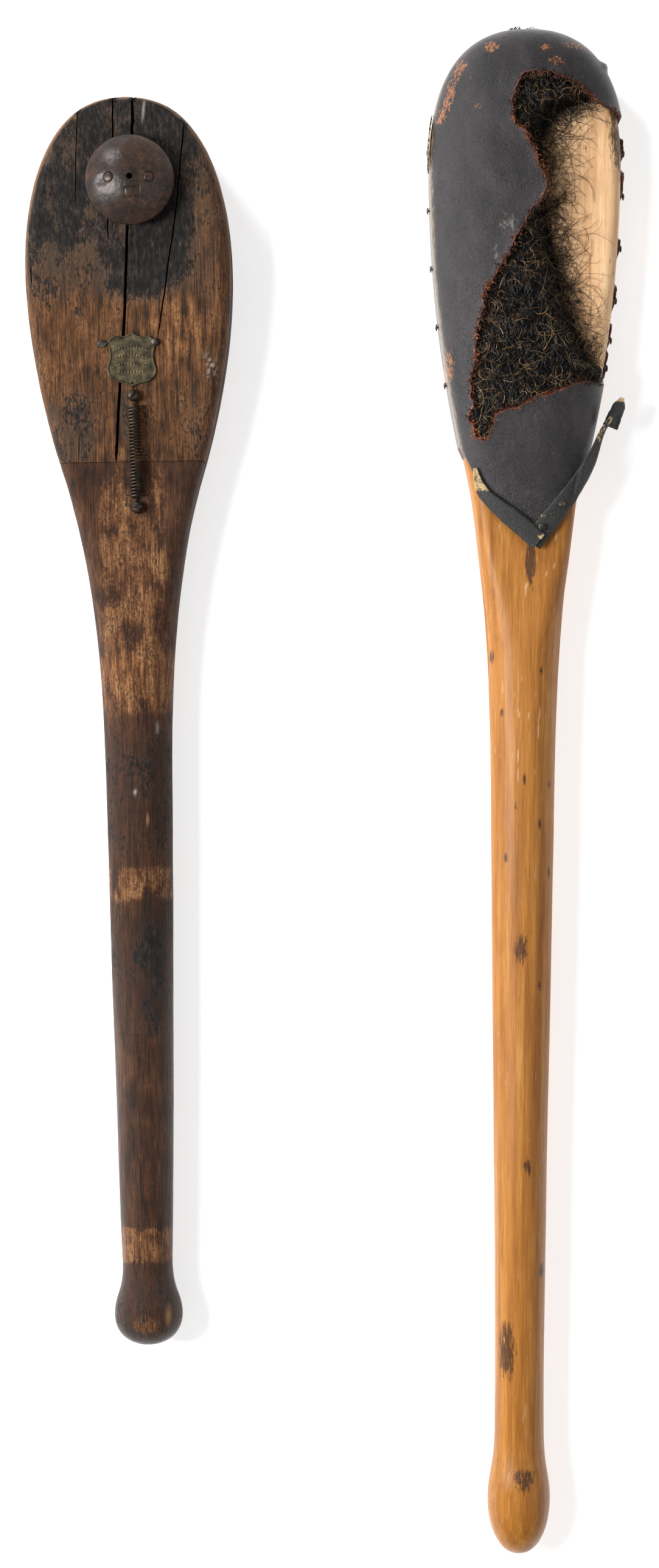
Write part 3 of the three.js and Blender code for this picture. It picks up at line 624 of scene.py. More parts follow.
def hair_look(name, dark, light):
    look = Look(name, specular_ior_level=0.25)
    look.colour = look.ramp(look.mask("tint"), (0.0, dark), (0.7, dark), (1.0, light))
    return look.done(0.5)


def lining_cloth():
    look = Look("lining_cloth")
    threads = {"Vector": look.where, "Scale": 0.55, "Distortion": 1.0}
    warp, weft = [look.add("TexWave", threads, bands_direction=way).outputs["Fac"] for way in "XY"]
    weave = look.math("MULTIPLY", warp, weft)
    dust = look.noise(3, detail=6, rough=0.7)
    tone = look.math("ADD", look.math("MULTIPLY", weave, 0.3), look.math("MULTIPLY", dust, 0.8))
    look.colour = look.ramp(tone, (0.3, "#242423"), (0.55, "#3c3a37"), (0.8, "#5b554c"))
    return look.done(0.85, (weave, 0.2), (dust, 0.3))


LOOKS = {
    "dark_wood": dark_wood("oiled_handle", "#432818", "#613d24", "#20140c", "#32221a", 0.17, 0.26),
    "board": dark_wood("sooty_board", "#5b3b22", "#7e5535", "#2b1d13", "#50443a", 0.15, 0.2),
    "pale_wood": varnished_wood(),
    "cover_leather": cover_leather(),
    "strip_leather": strip_leather(),
    "rusty_iron": rusty_iron(),
    "old_steel": old_metal("old_steel", "#1f1a18", "#383029", "#574a40", 0.36),
    "nail_steel": old_metal("nail_steel", "#24201e", "#46413d", "#6f6963", 0.36),
    "old_brass": old_metal("old_brass", "#27231b", "#474030", "#6b5f43", 0.42, 0.8),
    "horsehair": hair_look("horsehair", "#070505", "#9c7a52"),
    "torn_leather_fuzz": hair_look("torn_leather_fuzz", "#3a1c0e", "#a85a2a"),
    "lining_cloth": lining_cloth(),
}


# ---- The clapper paddle's wood ----
def drawn_in(distance, r):
    """How far a rounded end of radius r has drawn in, at a distance from its tip."""
    gone = max(r - distance, 0)
    return r - math.sqrt(max(r * r - gone * gone, 0))


def rounded_ring(w, z0, z1, r, y, count):
    """A ring round a section of half width w, from the middle of its back."""
    turn = np.linspace(0, np.pi / 2, 12)
    corner = np.stack([np.sin(turn), 1 - np.cos(turn)], 1) * r
    half = np.vstack([corner + (w - r, z0), corner[::-1] * (1, -1) + (w - r, z1)])
    ring = resampled(np.vstack([[(0, z0)], half, half[::-1] * (-1, 1), [(0, z0)]]), count, closed=True)
    return np.column_stack([ring[:, 0], np.full(count, y), ring[:, 1]])


CLAPPER_LINE = curve_chain(
    (2, 0), (11, 0, 22.1, 6, 22.1, 20), (22.1, 32, 16, 34, 16.2, 54),
    (18, 110, 19.4, 200, 21.6, 366), (22.6, 444, 27.3, 509, 44.6, 564.5),
    (53.4, 592, 66.3, 648, 66.3, 695), (66.3, 765, 41, CLAPPER_LENGTH, 2, CLAPPER_LENGTH),
)
PADDED_LINE = curve_chain(
    (2, 0), (11, 0, 20.3, 14, 20.3, 36), (20.3, 52, 16.2, 56, 16.1, 82),
    (15.6, 150, 17, 230, 20.4, 470), (21, 575, 25, 642, 39, 702),
    (49.4, 747, 63.1, 815, 63.1, 905), (63.1, 959, 40.5, PADDED_LENGTH, 2, PADDED_LENGTH),
)


def stations(line, spacing, low=-1.0, high=2000.0):
    """Evenly spaced points of an outline, with y from low to high."""
    length = np.linalg.norm(np.diff(line, axis=0), axis=1).sum()
    line = resampled(line, int(length / spacing))
    return line[(line[:, 1] >= low) & (line[:, 1] <= high)]


def clapper_rings(line, count):
    rings = []
    middle = CLAPPER_DEPTH / 2
    for w, y in line:
        half = middle - drawn_in(CLAPPER_LENGTH - y, BOARD_CORNER) if y > GRIP_END else min(w, middle)
        r = mix(min(w, half), min(BOARD_CORNER, w), float(smooth(y, 430, 560)))
        rings.append(rounded_ring(w, middle - half, middle + half, min(r, w - 0.01), y, count))
    return rings


def block(low, high):
    (x0, y0, z0), (x1, y1, z1) = low, high
    return loft("block", [[(x0, y, z0), (x1, y, z0), (x1, y, z1), (x0, y, z1)] for y in (y0, y1)])


def wedge(points, half_width, depth, seed, top=FRONT):
    """A crack to cut along a line of (x, y): narrow, deep and a little crooked."""
    line = smooth_line(points, max(int(abs(points[-1][1] - points[0][1]) / 1.6), 8))
    line = line[np.argsort(line[:, 1])]
    at = np.column_stack([line[:, 0] * 0, line[:, 1], line[:, 0] * 0])
    line[:, 0] += 0.25 * noise(at, (6, 7, 6), seed)
    rings = []
    for i, (x, y) in enumerate(line):
        share = min(1, 0.25 + 0.16 * min(i, len(line) - 1 - i))
        h, bottom = half_width * share, top - depth * share
        rings.append([(x - h, y, top + 4), (x - h, y, top), (x - 0.3 * h, y, bottom),
                      (x + 0.3 * h, y, bottom), (x + h, y, top), (x + h, y, top + 4)])
    return loft("wedge", rings)


def upright(radius, low, high, x, y, sides=24):
    return lathe("post", [(radius, low), (radius, high)], sides, (x, y, 0))


def rough_wood(obj, strength, seed):
    push(obj, lambda p: strength * noise(p, (16, 80, 16), seed) + 0.12 * noise(p, (2, 16, 2), seed + 5))


# Each is a line of (x, y), then half width, depth and seed; a nick ends with its top.
CRACKS = (
    (((-7.2, 812), (-7.5, 783), (-8.4, 750), (-11.7, 726), (-12, 712)), 0.55, 6, 2),
    (((5.8, 812), (5, 784), (3.2, 750), (0.6, 723), (-1.6, 680), (-3.2, 654), (-6.4, 620),
      (-9.9, 571)), 0.95, 12, 3),
    (((38.6, 790), (35.2, 760), (32.7, 739), (30.3, 721), (26.6, 700), (23, 677), (18.3, 650)), 0.5, 6, 4),
    (((-29.2, 802), (-31, 773), (-32.7, 733)), 0.35, 4, 5),
)
NICKS = (
    (((-61, 703), (-61.6, 686)), 1.2, 5, 7, 38),
    (((-34, 571), (-33, 592)), 0.35, 3, 9, FRONT),
    (((5.2, 793), (6.5, 786)), 2.2, 2.5, 12, FRONT),
)


def crack_shade_mask(p):
    """1 inside the cracks, whose insides are painted near-black as shade: below the surface and near a
    crack's line.
    """
    result = np.zeros(len(p))
    for line, *_ in CRACKS:
        near = distance_to(np.asarray(line, float), p[:, 0], p[:, 1]) < 2.5
        result = np.maximum(result, near & (p[:, 2] < FRONT - 0.9) & (p[:, 2] > FRONT - 12))
    return result


def paint_handle(p, n):
    x, y, _ = p.T
    front = smooth(n[:, 2], -0.2, 0.4)
    worn = bands(y, (0.62, 408, 447, 6), (0.52, 289, 311, 2), (0.72, 54, 78, 3), (0.2, 110, 190, 20))
    worn += 0.5 * band(y, 440, 571, 14) * (1 - smooth(np.abs(x), 16, 26) * 0.6)
    worn += 0.12 * band(y, 180, 300, 20) * smooth(-x, 4, 14) + 0.9 * blot(x, y, -0.2, 15.9, 9, 7)
    soot = bands(y, (0.42, 320, 400, 14), (0.36, 206, 284, 10))
    soot += 0.4 * (1 - smooth(y, 36, 54)) + 0.45 * smooth(y, 770, 800)
    soot += blots(x, y, (0.4, 8, 252, 8, 46), (0.3, -12, 311, 6, 3), (0.55, 4, 556, 9, 20))
    return {"worn": worn * (0.4 + 0.6 * front) + 0.1, "soot": soot,
            "edge": 0.35 * band(y, 440, 571, 10) * smooth(np.abs(x), 18, 30) * front,
            "chip": 0.6 * blot(x, y, 14, 21, 2, 6) * front + 0.7 * blot(x, y, 6.4, 341, 0.9, 3.4),
            "pale": blots(x, y, (0.8, -1.3, 358.5, 1.1, 1.6), (0.5, 13.5, 400, 0.9, 4)) * front,
            "gloss": 1 - smooth(y, 180, 300)}


def paint_board(p, n):
    x, y, _ = p.T
    face = smooth(n[:, 2], 0.5, 0.9)
    soot = 0.85 * smooth(y, 620, 765) - 0.3 * smooth(np.abs(x - 5), 34, 58) * smooth(y, 560, 700)
    soot += 0.35 * smooth(-x, 28, 50) * band(y, 660, 760, 20)
    soot += blots(x, y, (0.5, 22, 706, 16, 26), (0.45, 2, 690, 20, 22), (0.55, -4, 601, 3.4, 24),
                  (0.3, 10, 585, 5, 24), (0.25, -56, 590, 8, 30))
    soot *= 1 - 0.35 * blot(x, y, 52, 740, 12, 46)
    soot += blots(x, y, (-0.3, 0, 655, 60, 26), (0.52, -38, 592, 20, 34), (0.3, 44, 600, 14, 34),
                  (0.25, 55, 668, 6, 30))
    worn = blots(x, y, (0.55, 30, 655, 30, 30), (0.3, -40, 640, 22, 30), (0.15, 48, 735, 10, 40)) + 0.1
    rim = distance_to(np.vstack([CLAPPER_LINE * (-1, 1), CLAPPER_LINE[::-1]]), x, y)
    edge = 0.75 * (1 - smooth(rim, 1.0, 5.0)) * (0.4 + 0.6 * smooth(y, 690, 780))
    chip = np.maximum(blot(x, y, -5.4, 577, 1.5, 4.5), blot(x, y, -31.5, 797, 1.0, 8))
    pale = 0.6 * blot(x, y, 12.4 + 0.1 * (y - 795), 795, 0.8, 7) * (noise(p, (2, 4, 2), 33) > -0.3)
    pale += 0.6 * blot(x, y, 52, 632, 4.5, 9) * (noise(p, (1.6, 3, 2), 31) > 0.1)
    return {"worn": worn, "soot": np.clip(soot, -0.2, 1.2) * (0.55 + 0.45 * face),
            "edge": edge + 0.2 * (1 - face), "crack": crack_shade_mask(p) * (rim > 1.2),
            "chip": 0.35 * smooth(chip + 0.3 * noise(p, (1.5, 4, 2), 34), 0.3, 0.6) * face,
            "pale": np.clip(pale, 0, 1) * face}


handle = loft("clapper_paddle_wood", clapper_rings(stations(CLAPPER_LINE, 2.4), 176))
carve(handle, block((-90, SHOULDER, MAIN_BOARD), (90, 900, 80)), upright(2.6, 33, 60, *SPRING["lower"]))
rough_wood(handle, 0.35, 3)
finish_piece(handle, "root", "dark_wood", "clapper_paddle_handle_board", paint=paint_handle)

POSTS = {"left": DOME["x"] - POST_REACH, "right": DOME["x"] + POST_REACH}
board = loft("clapper_front_board", clapper_rings(stations(CLAPPER_LINE, 1.15, 560), 220))
rough_wood(board, 0.3, 8)
carve(board, block((-90, 500, -10), (90, 900, MAIN_BOARD + SAW_CUT)),
      block((-90, 500, -10), (90, BOARD_START, 90)), *[wedge(*cut) for cut in CRACKS + NICKS],
      upright(7.3, 20, 60, DOME["x"], DOME["y"], 40),
      *[upright(2.5, 20, 60, x, DOME["y"]) for x in POSTS.values()],
      upright(2.6, 33, 60, *SPRING["upper"]), *[upright(1.15, 33, 60, *ear) for ear in EARS])
finish_piece(board, "clapper", "dark_wood", "clapper_board", paint=paint_board, look="board")


# ---- The iron dome and its posts ----
def cap_height(distance, rise, radius):
    ball = (radius**2 + rise**2) / (2 * rise)
    return np.sqrt(ball**2 - np.square(distance)) - (ball - rise)


def dome_profile():
    radius, rise = DOME["radius"], DOME["rise"]
    inner = np.linspace(0.02, 1, 36) * (radius - 3)
    outer = np.linspace(1, 0.01, 60) * (radius - 0.5)
    rows = list(zip(inner, cap_height(inner, rise - 1, radius - 3)))
    rows += [(radius - 1.2, 0), (radius - 0.3, 0.2), (radius, 0.8), (radius, 1.6)]
    return rows + list(zip(outer, cap_height(outer, rise, radius) + DOME_WALL))


def dent_dome(p):
    """Dents, and a small sunk square border, fading out towards the rim."""
    x, y, _ = p.T
    dents = 0.25 * noise(p, (13, 13, 30), 2) + 0.1 * noise(p, (1.8, 1.8, 6), 4)
    dents -= blots(x, y, (0.5, -14, 748, 3.6, 3.6), (0.4, 11, 736, 5, 5), (0.35, 16.5, 747.5, 4.5, 4.5),
                   (0.3, 8, 765, 6, 6))
    u, v = np.abs(x - 5.5) - 4.6, np.abs(y - 740.2 - 0.1 * (x - 5.5)) - 2.8
    dents -= 0.4 * (1 - smooth(np.abs(np.maximum(u, v)), 0.2, 0.8))
    return dents * (1 - smooth(np.hypot(x - DOME["x"], y - DOME["y"]), 25.5, 28))


def paint_dome(p, n):
    x, y, _ = p.T
    rust = smooth(np.hypot(x - DOME["x"], y - DOME["y"]), 22, 28) * smooth(noise(p, 9, 6), -0.25, 0.4)
    rust = 0.65 * rust + blots(x, y, (0.8, -13, 741, 1.8, 1.6), (0.3, 4, 766, 12, 8))
    return {"rust": np.clip(rust, 0, 1)}


dome = lathe("iron_dome", dome_profile(), 200, (DOME["x"], DOME["y"], DOME["rim"]))
push(dome, dent_dome)
carve(dome, upright(1.9, 40, 90, DOME["x"] + 0.8, DOME["y"] + 0.2, 32),
      *[upright(3.42, 40, 90, x, DOME["y"], 40) for x in POSTS.values()])
finish_piece(dome, "clapper", "rusty_iron", "blast_cap", paint=paint_dome)

POST_TOP = DOME["rim"] + DOME_WALL + float(cap_height(POST_REACH, DOME["rise"], DOME["radius"]))
POST_HEAD = [(3.2, -1.2), (3.1, -0.5), (2.7, -0.15), (1.8, 0.1), (0.8, 0.15)]
for side, (name, middle) in zip((-1, 1), POSTS.items()):
    profile = [(2.2, 33), (2.2, FRONT + FIT), (3.2, FRONT + FIT), (3.2, 50)]
    profile += [(radius, POST_TOP + height) for radius, height in POST_HEAD]
    post = lathe(f"dome_post_{name}", profile, 40, (middle, DOME["y"], 0))
    push(post, lambda p: 0.12 * noise(p, 2, 9 + side) * (p[:, 2] > 50))
    points = coordinates(post)
    fall = -0.345 * side * (points[:, 0] - middle)  # the dome falls away to either side
    points[:, 2] += fall * (points[:, 2] > POST_TOP - 1.3)
    move_to(post, points)
    finish_piece(post, "clapper", "rusty_iron", f"cap_post_{name}", paint=lambda p, n: {"rust": 0.2})


# ---- The brass shield, with a raised rim and rows of beads ----
def shield_line(count):
    w, h = BADGE["width"] / 2, BADGE["height"] / 2
    right = curve_chain(
        (0, h), (0.1 * w, 0.9 * h, 0.42 * w, 0.74 * h, 0.72 * w, 0.86 * h),
        (0.82 * w, 0.78 * h, 0.92 * w, 0.7 * h, w, 0.62 * h),
        (0.82 * w, 0.34 * h, 0.82 * w, 0.0, 0.98 * w, -0.3 * h),
        (w, -0.9 * h, 0.4 * w, -0.75 * h, 0, -h), steps=24,
    )
    left = right[::-1][1:-1] * (-1, 1)
    return resampled(np.vstack([right, left, right[:1]]), count, closed=True)


def shield():
    outline = shield_line(240)
    rows = [(1, 0), (1, 0.75), (0.985, 1.05), (0.955, 1.2), (0.925, 1.05), (0.905, 0.75)]
    rows += [(share, 0.72 + 0.1 * (1 - share)) for share in np.linspace(0.89, 0.03, 26)]
    rings = []
    for share, height in rows:
        ring = outline * share + (0, -0.5 * (1 - share))
        rings.append(np.column_stack([ring, np.full(len(ring), height)]))
    return loft("brass_shield", rings)


def beaded(points):
    """Rows of plain beads across the shield's face, bowed like its top."""
    x, y, _ = points.T
    rows = np.zeros(len(points))
    for bow, line_y, reach in ((0.02, 8.2, 11), (0.02, 3.2, 10), (0.02, -2.2, 11), (0, -7.6, 8)):
        bead = 1 - smooth(np.abs(y - line_y + bow * x * x), 0.25, 0.75)
        bead *= 0.55 + 0.45 * np.cos(x * 2 * math.pi / 1.9)
        rows += bead * (1 - smooth(np.abs(x), reach, reach + 0.8))
    return 0.55 * np.clip(rows, 0, 1) + 0.12 * noise(points, 7, 3)


badge = shield()
points = coordinates(badge)
points[:, 2] += np.where(points[:, 2] > 0.6, beaded(points), 0)
move_to(badge, points)
carve(badge, upright(0.85, -5, 9, 0.4, -0.84 * BADGE["height"] / 2, 16))
badge.data.transform(placed(BADGE["x"], BADGE["y"], FRONT + FIT, -1.2))
carve(badge, *[upright(1.2, 30, 60, *ear) for ear in EARS])
finish_piece(badge, "clapper", "old_brass", "shield_badge")

NAIL_SEAT = FRONT + FIT + 1.4
NAIL = [(0.05, 34), (1, 35.5), (1, NAIL_SEAT), (2.0, NAIL_SEAT), (2.35, NAIL_SEAT + 0.35),
        (2.2, NAIL_SEAT + 0.85), (1.5, NAIL_SEAT + 1.15), (0.6, NAIL_SEAT + 1.25)]
for (x, y), name in zip(EARS, ("left", "right")):
    nail = lathe(f"shield_nail_{name}", NAIL, 28, (x, y, 0))
    push(nail, lambda p: 0.22 * noise(p, 1.4, 12) * (p[:, 2] > NAIL_SEAT))
    if name == "left":  # its head is bent over
        points = coordinates(nail)
        head = points[:, 2] > NAIL_SEAT - 0.1
        points[head, 0] = x + (points[head, 0] - x) * 1.35 - 0.9
        points[:, 2] += np.where(head, 0.12 * (x - points[:, 0]) + 0.3, 0)
        move_to(nail, points)
    finish_piece(nail, "clapper", "nail_steel", f"badge_nail_{name}")

# ---- The spring and its two screws ----
SEAT = FRONT + 3.4
SCREW = [(0.05, 31), (1.4, 34), (2.2, 38), (2.2, SEAT), (3.5, SEAT), (3.8, SEAT + 0.5), (3.7, SEAT + 1.1),
         (3.2, SEAT + 1.75), (2.3, SEAT + 2.2), (1.2, SEAT + 2.38), (0.4, SEAT + 2.4)]
for end, body, slot_angle in (("upper", "clapper", 48), ("lower", "root", 8)):
    x, y = SPRING[end]
    screw = lathe(f"spring_screw_head_{end}", SCREW, 56, (x, y, 0))
    slot = block((-6, -0.5, SEAT + 1.1), (6, 0.5, SEAT + 6))
    slot.data.transform(placed(x, y, 0, slot_angle))
    carve(screw, slot)
    push(screw, lambda p: 0.06 * noise(p, 1.2, 15))
    finish_piece(screw, body, "old_steel", f"spring_screw_{end}")


def opened(points):
    """The points, turned about the hinge as the open board is."""
    pivot = (0, HINGE_Y, HINGE_Z)
    x, y, z = np.moveaxis(np.asarray(points, float) - pivot, -1, 0)
    c, s = math.cos(CLAPPER_OPEN), math.sin(CLAPPER_OPEN)
    return np.stack([x, c * y - s * z, s * y + c * z], -1) + pivot


def spring_loop(place, toward):
    """An open loop of wire round a screw."""
    angle = toward * math.pi / 2 + (0.25 + np.arange(13) / 8) * math.pi
    x, y = place[0] + 3.2 * np.cos(angle), place[1] + 3.2 * np.sin(angle)
    return np.stack([x, y, np.full(13, FRONT + 1.6)], 1)


def spring_route():
    lower, upper, turns = SPRING["lower"], SPRING["upper"], SPRING["turns"]
    radius = SPRING["coil"] - SPRING["wire"]
    start = np.array([lower[0], lower[1] + SPRING_HOOK, FRONT + SPRING_HEIGHT])
    end = opened([upper[0], upper[1] - SPRING_HOOK, FRONT + SPRING_HEIGHT])
    share = np.linspace(0, 1, turns * 20 + 1)
    angle = math.pi + share * turns * 2 * math.pi
    coil = start + (end - start) * share[:, None]
    coil[:, 0] += radius * np.sin(angle)
    coil[:, 2] += radius * np.cos(angle)
    first = smooth_line(np.vstack([spring_loop(lower, 1)[::-1], coil[:1]]), 60)
    last = smooth_line(np.vstack([coil[-1:], opened(spring_loop(upper, -1))]), 60)
    return np.vstack([first[:-1], coil, last[1:]]), start, end


route, coil_start, coil_end = spring_route()
spring = tubes("coil_spring", [route], [SPRING["wire"]], sides=10)
finish_piece(spring, None, "old_steel", "return_spring")
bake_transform(spring)


# ---- The padded paddle's wood ----
def half_depth(y):
    return mix(BULB_DEPTH, BOARD_DEPTH, smooth(y, 590, 700)) / 2


def crown(t):
    return (1 - np.minimum(np.abs(t), 1) ** 2.5) ** 0.4


def stuffed(x, y, w):
    """Height of the cover over the stuffing."""
    swell = 2 * half_depth(y) + PAD * smooth(y, 655, 750) + 2 + LEATHER - COVER_SHOULDER
    end = crown(1 - np.clip((PADDED_LENGTH - y) / 42, 0, 1))
    return COVER_SHOULDER + swell * crown(x / w) * end


def padded_half_width(y):
    upper = PADDED_LINE[PADDED_LINE[:, 1] > 82]
    return np.interp(y, upper[:, 1], upper[:, 0])


def padded_rings(line, count):
    rings = []
    for w, y in line:
        width = max(w - COVER_ROOM * float(smooth(y, 640, 700)), 0.4)
        middle = float(half_depth(y))
        half = min(w, middle) if y <= 470 else middle
        if y > 700:
            half = middle - drawn_in(PADDED_LENGTH - y, PADDED_CORNER)
        r = min(mix(min(width, half), PADDED_CORNER, float(smooth(y, 570, 680))), width - 0.01)
        y = y - COVER_ROOM * float(smooth(y, 800, PADDED_LENGTH))
        rings.append(rounded_ring(width, middle - half, middle + half, r, y, count))
    return rings


# The edge of the wood that lies bare beside the pad, from the head down
BARE_EDGE = np.array([(56, 949), (42, 942), (22, 936), (8, 921), (9, 893), (12, 862), (17, 838),
                      (27, 800), (40, 773), (60, 764)], float)


def bare_edge(y):
    return np.interp(y, BARE_EDGE[::-1, 1], BARE_EDGE[::-1, 0])


# Dark specks: middle x and y, then size across and along
SPECKS = ((-21, 583, 1, 4), (10.4, 573.7, 0.8, 2.5), (-14.5, 546.6, 0.8, 2.5), (-0.1, 503, 1.0, 3),
          (16.7, 500.5, 0.9, 2.5), (-5.9, 486, 0.8, 2.5), (10, 474.6, 1, 3), (-11.6, 453, 0.9, 3),
          (16.2, 443.3, 1, 3), (-1.5, 393.8, 3, 8), (10.4, 370, 1, 3), (3.6, 253.6, 2, 4),
          (13.3, 185.8, 1.4, 4), (-9, 134, 4, 15), (2, 52, 5, 6))


def paint_padded_wood(p, n):
    x, y, z = p.T
    front = smooth(n[:, 2], 0.1, 0.6)
    bare = smooth(y, 742, 752) * smooth(z, 8, 12)
    stain_and_shade = blots(x, y, (0.95, 3, 645, 4.5, 14), (0.35, 3, 625, 3, 16))
    stain_and_shade += blots(x, y, *[(0.8, cx, cy, 1.7 * across, 1.5 * along) for cx, cy, across, along in SPECKS])
    # Along the bare wood's right edge these blots are painted shade; the spot at x 36 is a stain, and the
    # next line makes the bare wood darker towards the top.
    stain_and_shade += bare * blots(x, y, (0.8, 60, 920, 9, 32), (0.42, 36, 910, 4, 4), (0.45, 57, 800, 2.5, 40),
                          (0.25, 50, 850, 10, 30))
    stain_and_shade += bare * 0.5 * smooth(y, 925, 945)
    # Painted shade: the handle darker down its right side, away from the light, and the bare wood darker
    # beside the stuffing, where its shadow falls.
    painted_shade = smooth(np.abs(x) / padded_half_width(y), 0.78, 1.0) * 0.55 * front * (x > 0) * (1 - bare)
    painted_shade += bare * (1 - smooth(x - bare_edge(y), -2, 10)) * 0.25
    scratch = smooth(noise(p, (1.1, 13, 3), 41), 0.46, 0.6) * 0.55 * (1 - bare) * front
    scratch *= 0.3 + blots(x, y, (1, -5, 535, 20, 30), (1, 6, 660, 24, 40))
    return {"bare": bare, "stain_and_shade": np.clip(stain_and_shade, 0, 1.2), "painted_shade": painted_shade,
            "scratch": np.clip(scratch, 0, 1), "gloss": 1 - smooth(y, 200, 380)}


def facets(p):
    """The handle's chamfers and the two ridges that meet below the head."""
    x, y, z = p.T
    lean = smooth(y, 560, 590) * (1 - smooth(y, 660, 690))
    flat = 0.09 * np.maximum(0, np.abs(x - 1) - (y - 585) * 0.32 - 4)
    carved = -0.6 * lean * np.clip(flat, 0, 1.4) * (z > 20)
    return carved + 0.35 * noise(p, (15, 90, 15), 23) + 0.08 * noise(p, (2, 18, 2), 24)


padded_wood = loft("padded_paddle_wood", padded_rings(stations(PADDED_LINE, 2.6), 176))
push(padded_wood, facets)
finish_piece(padded_wood, "padded_paddle", "pale_wood", "padded_paddle_handle_board", paint=paint_padded_wood)

# ---- The torn leather cover ----
TEAR = ((72, 931), (56, 932), (48, 934), (32, 947), (13, 955), (-5, 951), (-11, 930), (1, 909), (10, 885),
        (2, 866), (-15, 838), (-27, 816), (-33, 789), (-36, 762), (-35.5, 728), (-28, 721), (-18, 737),
        (8, 748), (27, 756), (52, 760), (74, 758))


def ragged(points, count, rough_size, depth, seed):
    """A torn line through points."""
    line = smooth_line(points, count)
    at = np.column_stack([line, np.zeros(len(line))])
    bite = noise(at, rough_size, seed, octaves=4)
    return line + left_of(line) * (depth * bite)[:, None]


TEAR_LINE = ragged(TEAR, 640, 7, 3.0, 51)
TEAR_AREA = np.vstack([TEAR_LINE, [(100, 758), (100, 931)]])


def cover_rows(inset, columns=132, walls=12):
    """The cover's surface, or the one that lies inset below it."""
    line = stations(PADDED_LINE, 1.9, 648)
    share = np.sin(np.linspace(-1, 1, columns) * math.pi / 2)
    rows = []
    for (w, y), (nx, ny) in zip(line, -left_of(line)):
        half = max(w - inset * nx, 0.1 if inset else 0.15)
        if y > PADDED_LENGTH - 0.5:
            half = 0.1
        at_y = y - inset * max(ny, 0)
        down = np.linspace(COVER_BACK, COVER_SHOULDER - inset, walls, endpoint=False)
        across = np.r_[np.full(walls, -half), share * half, np.full(walls, half)]
        height = np.r_[down, stuffed(share * w, y, w) - inset, down[::-1]]
        rows.append(np.column_stack([across, np.full(len(across), at_y), height]))
    return np.array(rows)


def rumple(p):
    lumps = 0.9 * noise(p, (30, 40, 30), 61) + 0.22 * noise(p, (7, 9, 7), 62)
    return lumps * smooth(p[..., 2], 10, 34)


cover = thick_sheet("leather_pad_cover", cover_rows(0), cover_rows(LEATHER))
below_v = np.vstack([
    [(-95, 560), (95, 560), (95, 800), (80, 800)],
    curve_chain((80, 800), (66, 762, 52, 726, 36, 704), steps=16)[1:],
    ragged(((36, 704), (20, 684), (4.4, 664)), 24, 5, 0.4, 53)[1:],
    ragged(((4.4, 664), (-14, 680), (-32, 696)), 24, 5, 0.4, 54)[1:],
    curve_chain((-32, 696), (-44, 722, -60, 756, -80, 800), steps=16)[1:],
    [(-95, 800)],
])
carve(cover, prism(TEAR_AREA, -20, 90), prism(below_v, -20, 90))
points = coordinates(cover)
x, y, z = points.T
near_tear = distance_to(TEAR_LINE[20:-20:2], x, y)
curl = 1.5 * np.exp(-near_tear / 2.6) * (0.5 + 0.9 * noise(points, (9, 9, 30), 64))
curl *= smooth(padded_half_width(y) - np.abs(x), 0, 8)
lift = curl + rumple(points) * (z > 30)
fold = blot(x, y, 51, 965, 4, 4)[:, None] * (2.6, 2.0)
move_to(cover, points + np.column_stack([fold, lift]))


def paint_cover(p, n):
    x, y, z = p.T
    w = padded_half_width(y)
    surface = stuffed(x, y, np.maximum(w, 1)) + rumple(p)
    d = distance_to(TEAR_LINE[::3], x, y)
    under = smooth(surface - z, 0.5, 1.3) * (np.abs(x) < w - 3) + (n[:, 2] < -0.3)
    under = np.maximum(under, 1 - smooth(d, 0.15, 0.7))
    worn = blots(x, y, (0.72, -25, 972, 5.5, 4.6), (0.55, 9.4, 971, 4.4, 3), (0.6, 30, 974, 10, 3),
                 (0.45, -33, 933, 3.5, 2.4), (0.5, 17, 962, 7, 4), (0.7, -50, 768, 3.5, 11))
    streak = distance_to(np.array([(-43, 962), (-48, 952), (-52, 940), (-56, 926)], float), x, y)
    worn += 0.68 * (1 - smooth(streak, 1.0, 5.2))
    worn += 0.5 * (1 - smooth(d, 0.5, 1.6)) * smooth(noise(p, 8, 71), 0, 0.3)
    edge = smooth(np.abs(x) / np.maximum(w, 1), 0.945, 0.995) * (0.4 + 0.45 * (x < 0)) * smooth(z, 14, 34)
    # The long faint blot down the left side is a painted highlight, in pale specks; the others are pale
    # scuffs.
    pale = blots(x, y, (0.62, -14, 858, 8, 11), (0.5, -22, 838, 4, 12), (0.12, -48, 880, 8, 60))
    return {"under": np.clip(under, 0, 1), "worn": np.clip(worn, 0, 1.2), "edge": edge, "pale": pale}


finish_piece(cover, "padded_paddle", "cover_leather", "leather_cover", paint=paint_cover, sharp=50)


# ---- The horsehair ----
def stuffing_rows():
    over, under = [], []
    for w, y in stations(PADDED_LINE, 2.2, 668, 985):
        torn = 764 < y < 949  # the bare wood is beside it
        reach = w - 4 if w > 5 else 1
        right = min(reach, float(bare_edge(y)) + 1) if torn else reach
        x = np.linspace(-reach, right, 90)
        floor = 2 * float(half_depth(y)) - drawn_in(max(PADDED_LENGTH - COVER_ROOM - y, 0), PADDED_CORNER)
        at = np.column_stack([x, np.full(90, y), np.full(90, floor + 0.4)])
        thick = np.maximum(stuffed(x, y, w) - LEATHER - 1.6 - floor, 0.4)
        taper = smooth(right - x, 0, 15 if torn else 3)
        thick = 0.4 + (thick - 0.4) * taper * smooth(x + reach, 0, 3)
        lumps = 0.9 * noise(at, 4, 81) * smooth(thick, 1, 6) - smooth(thick, 2, 6)
        over.append(at + np.outer(thick + lumps, (0, 0, 1)))
        under.append(at)
    return over, under


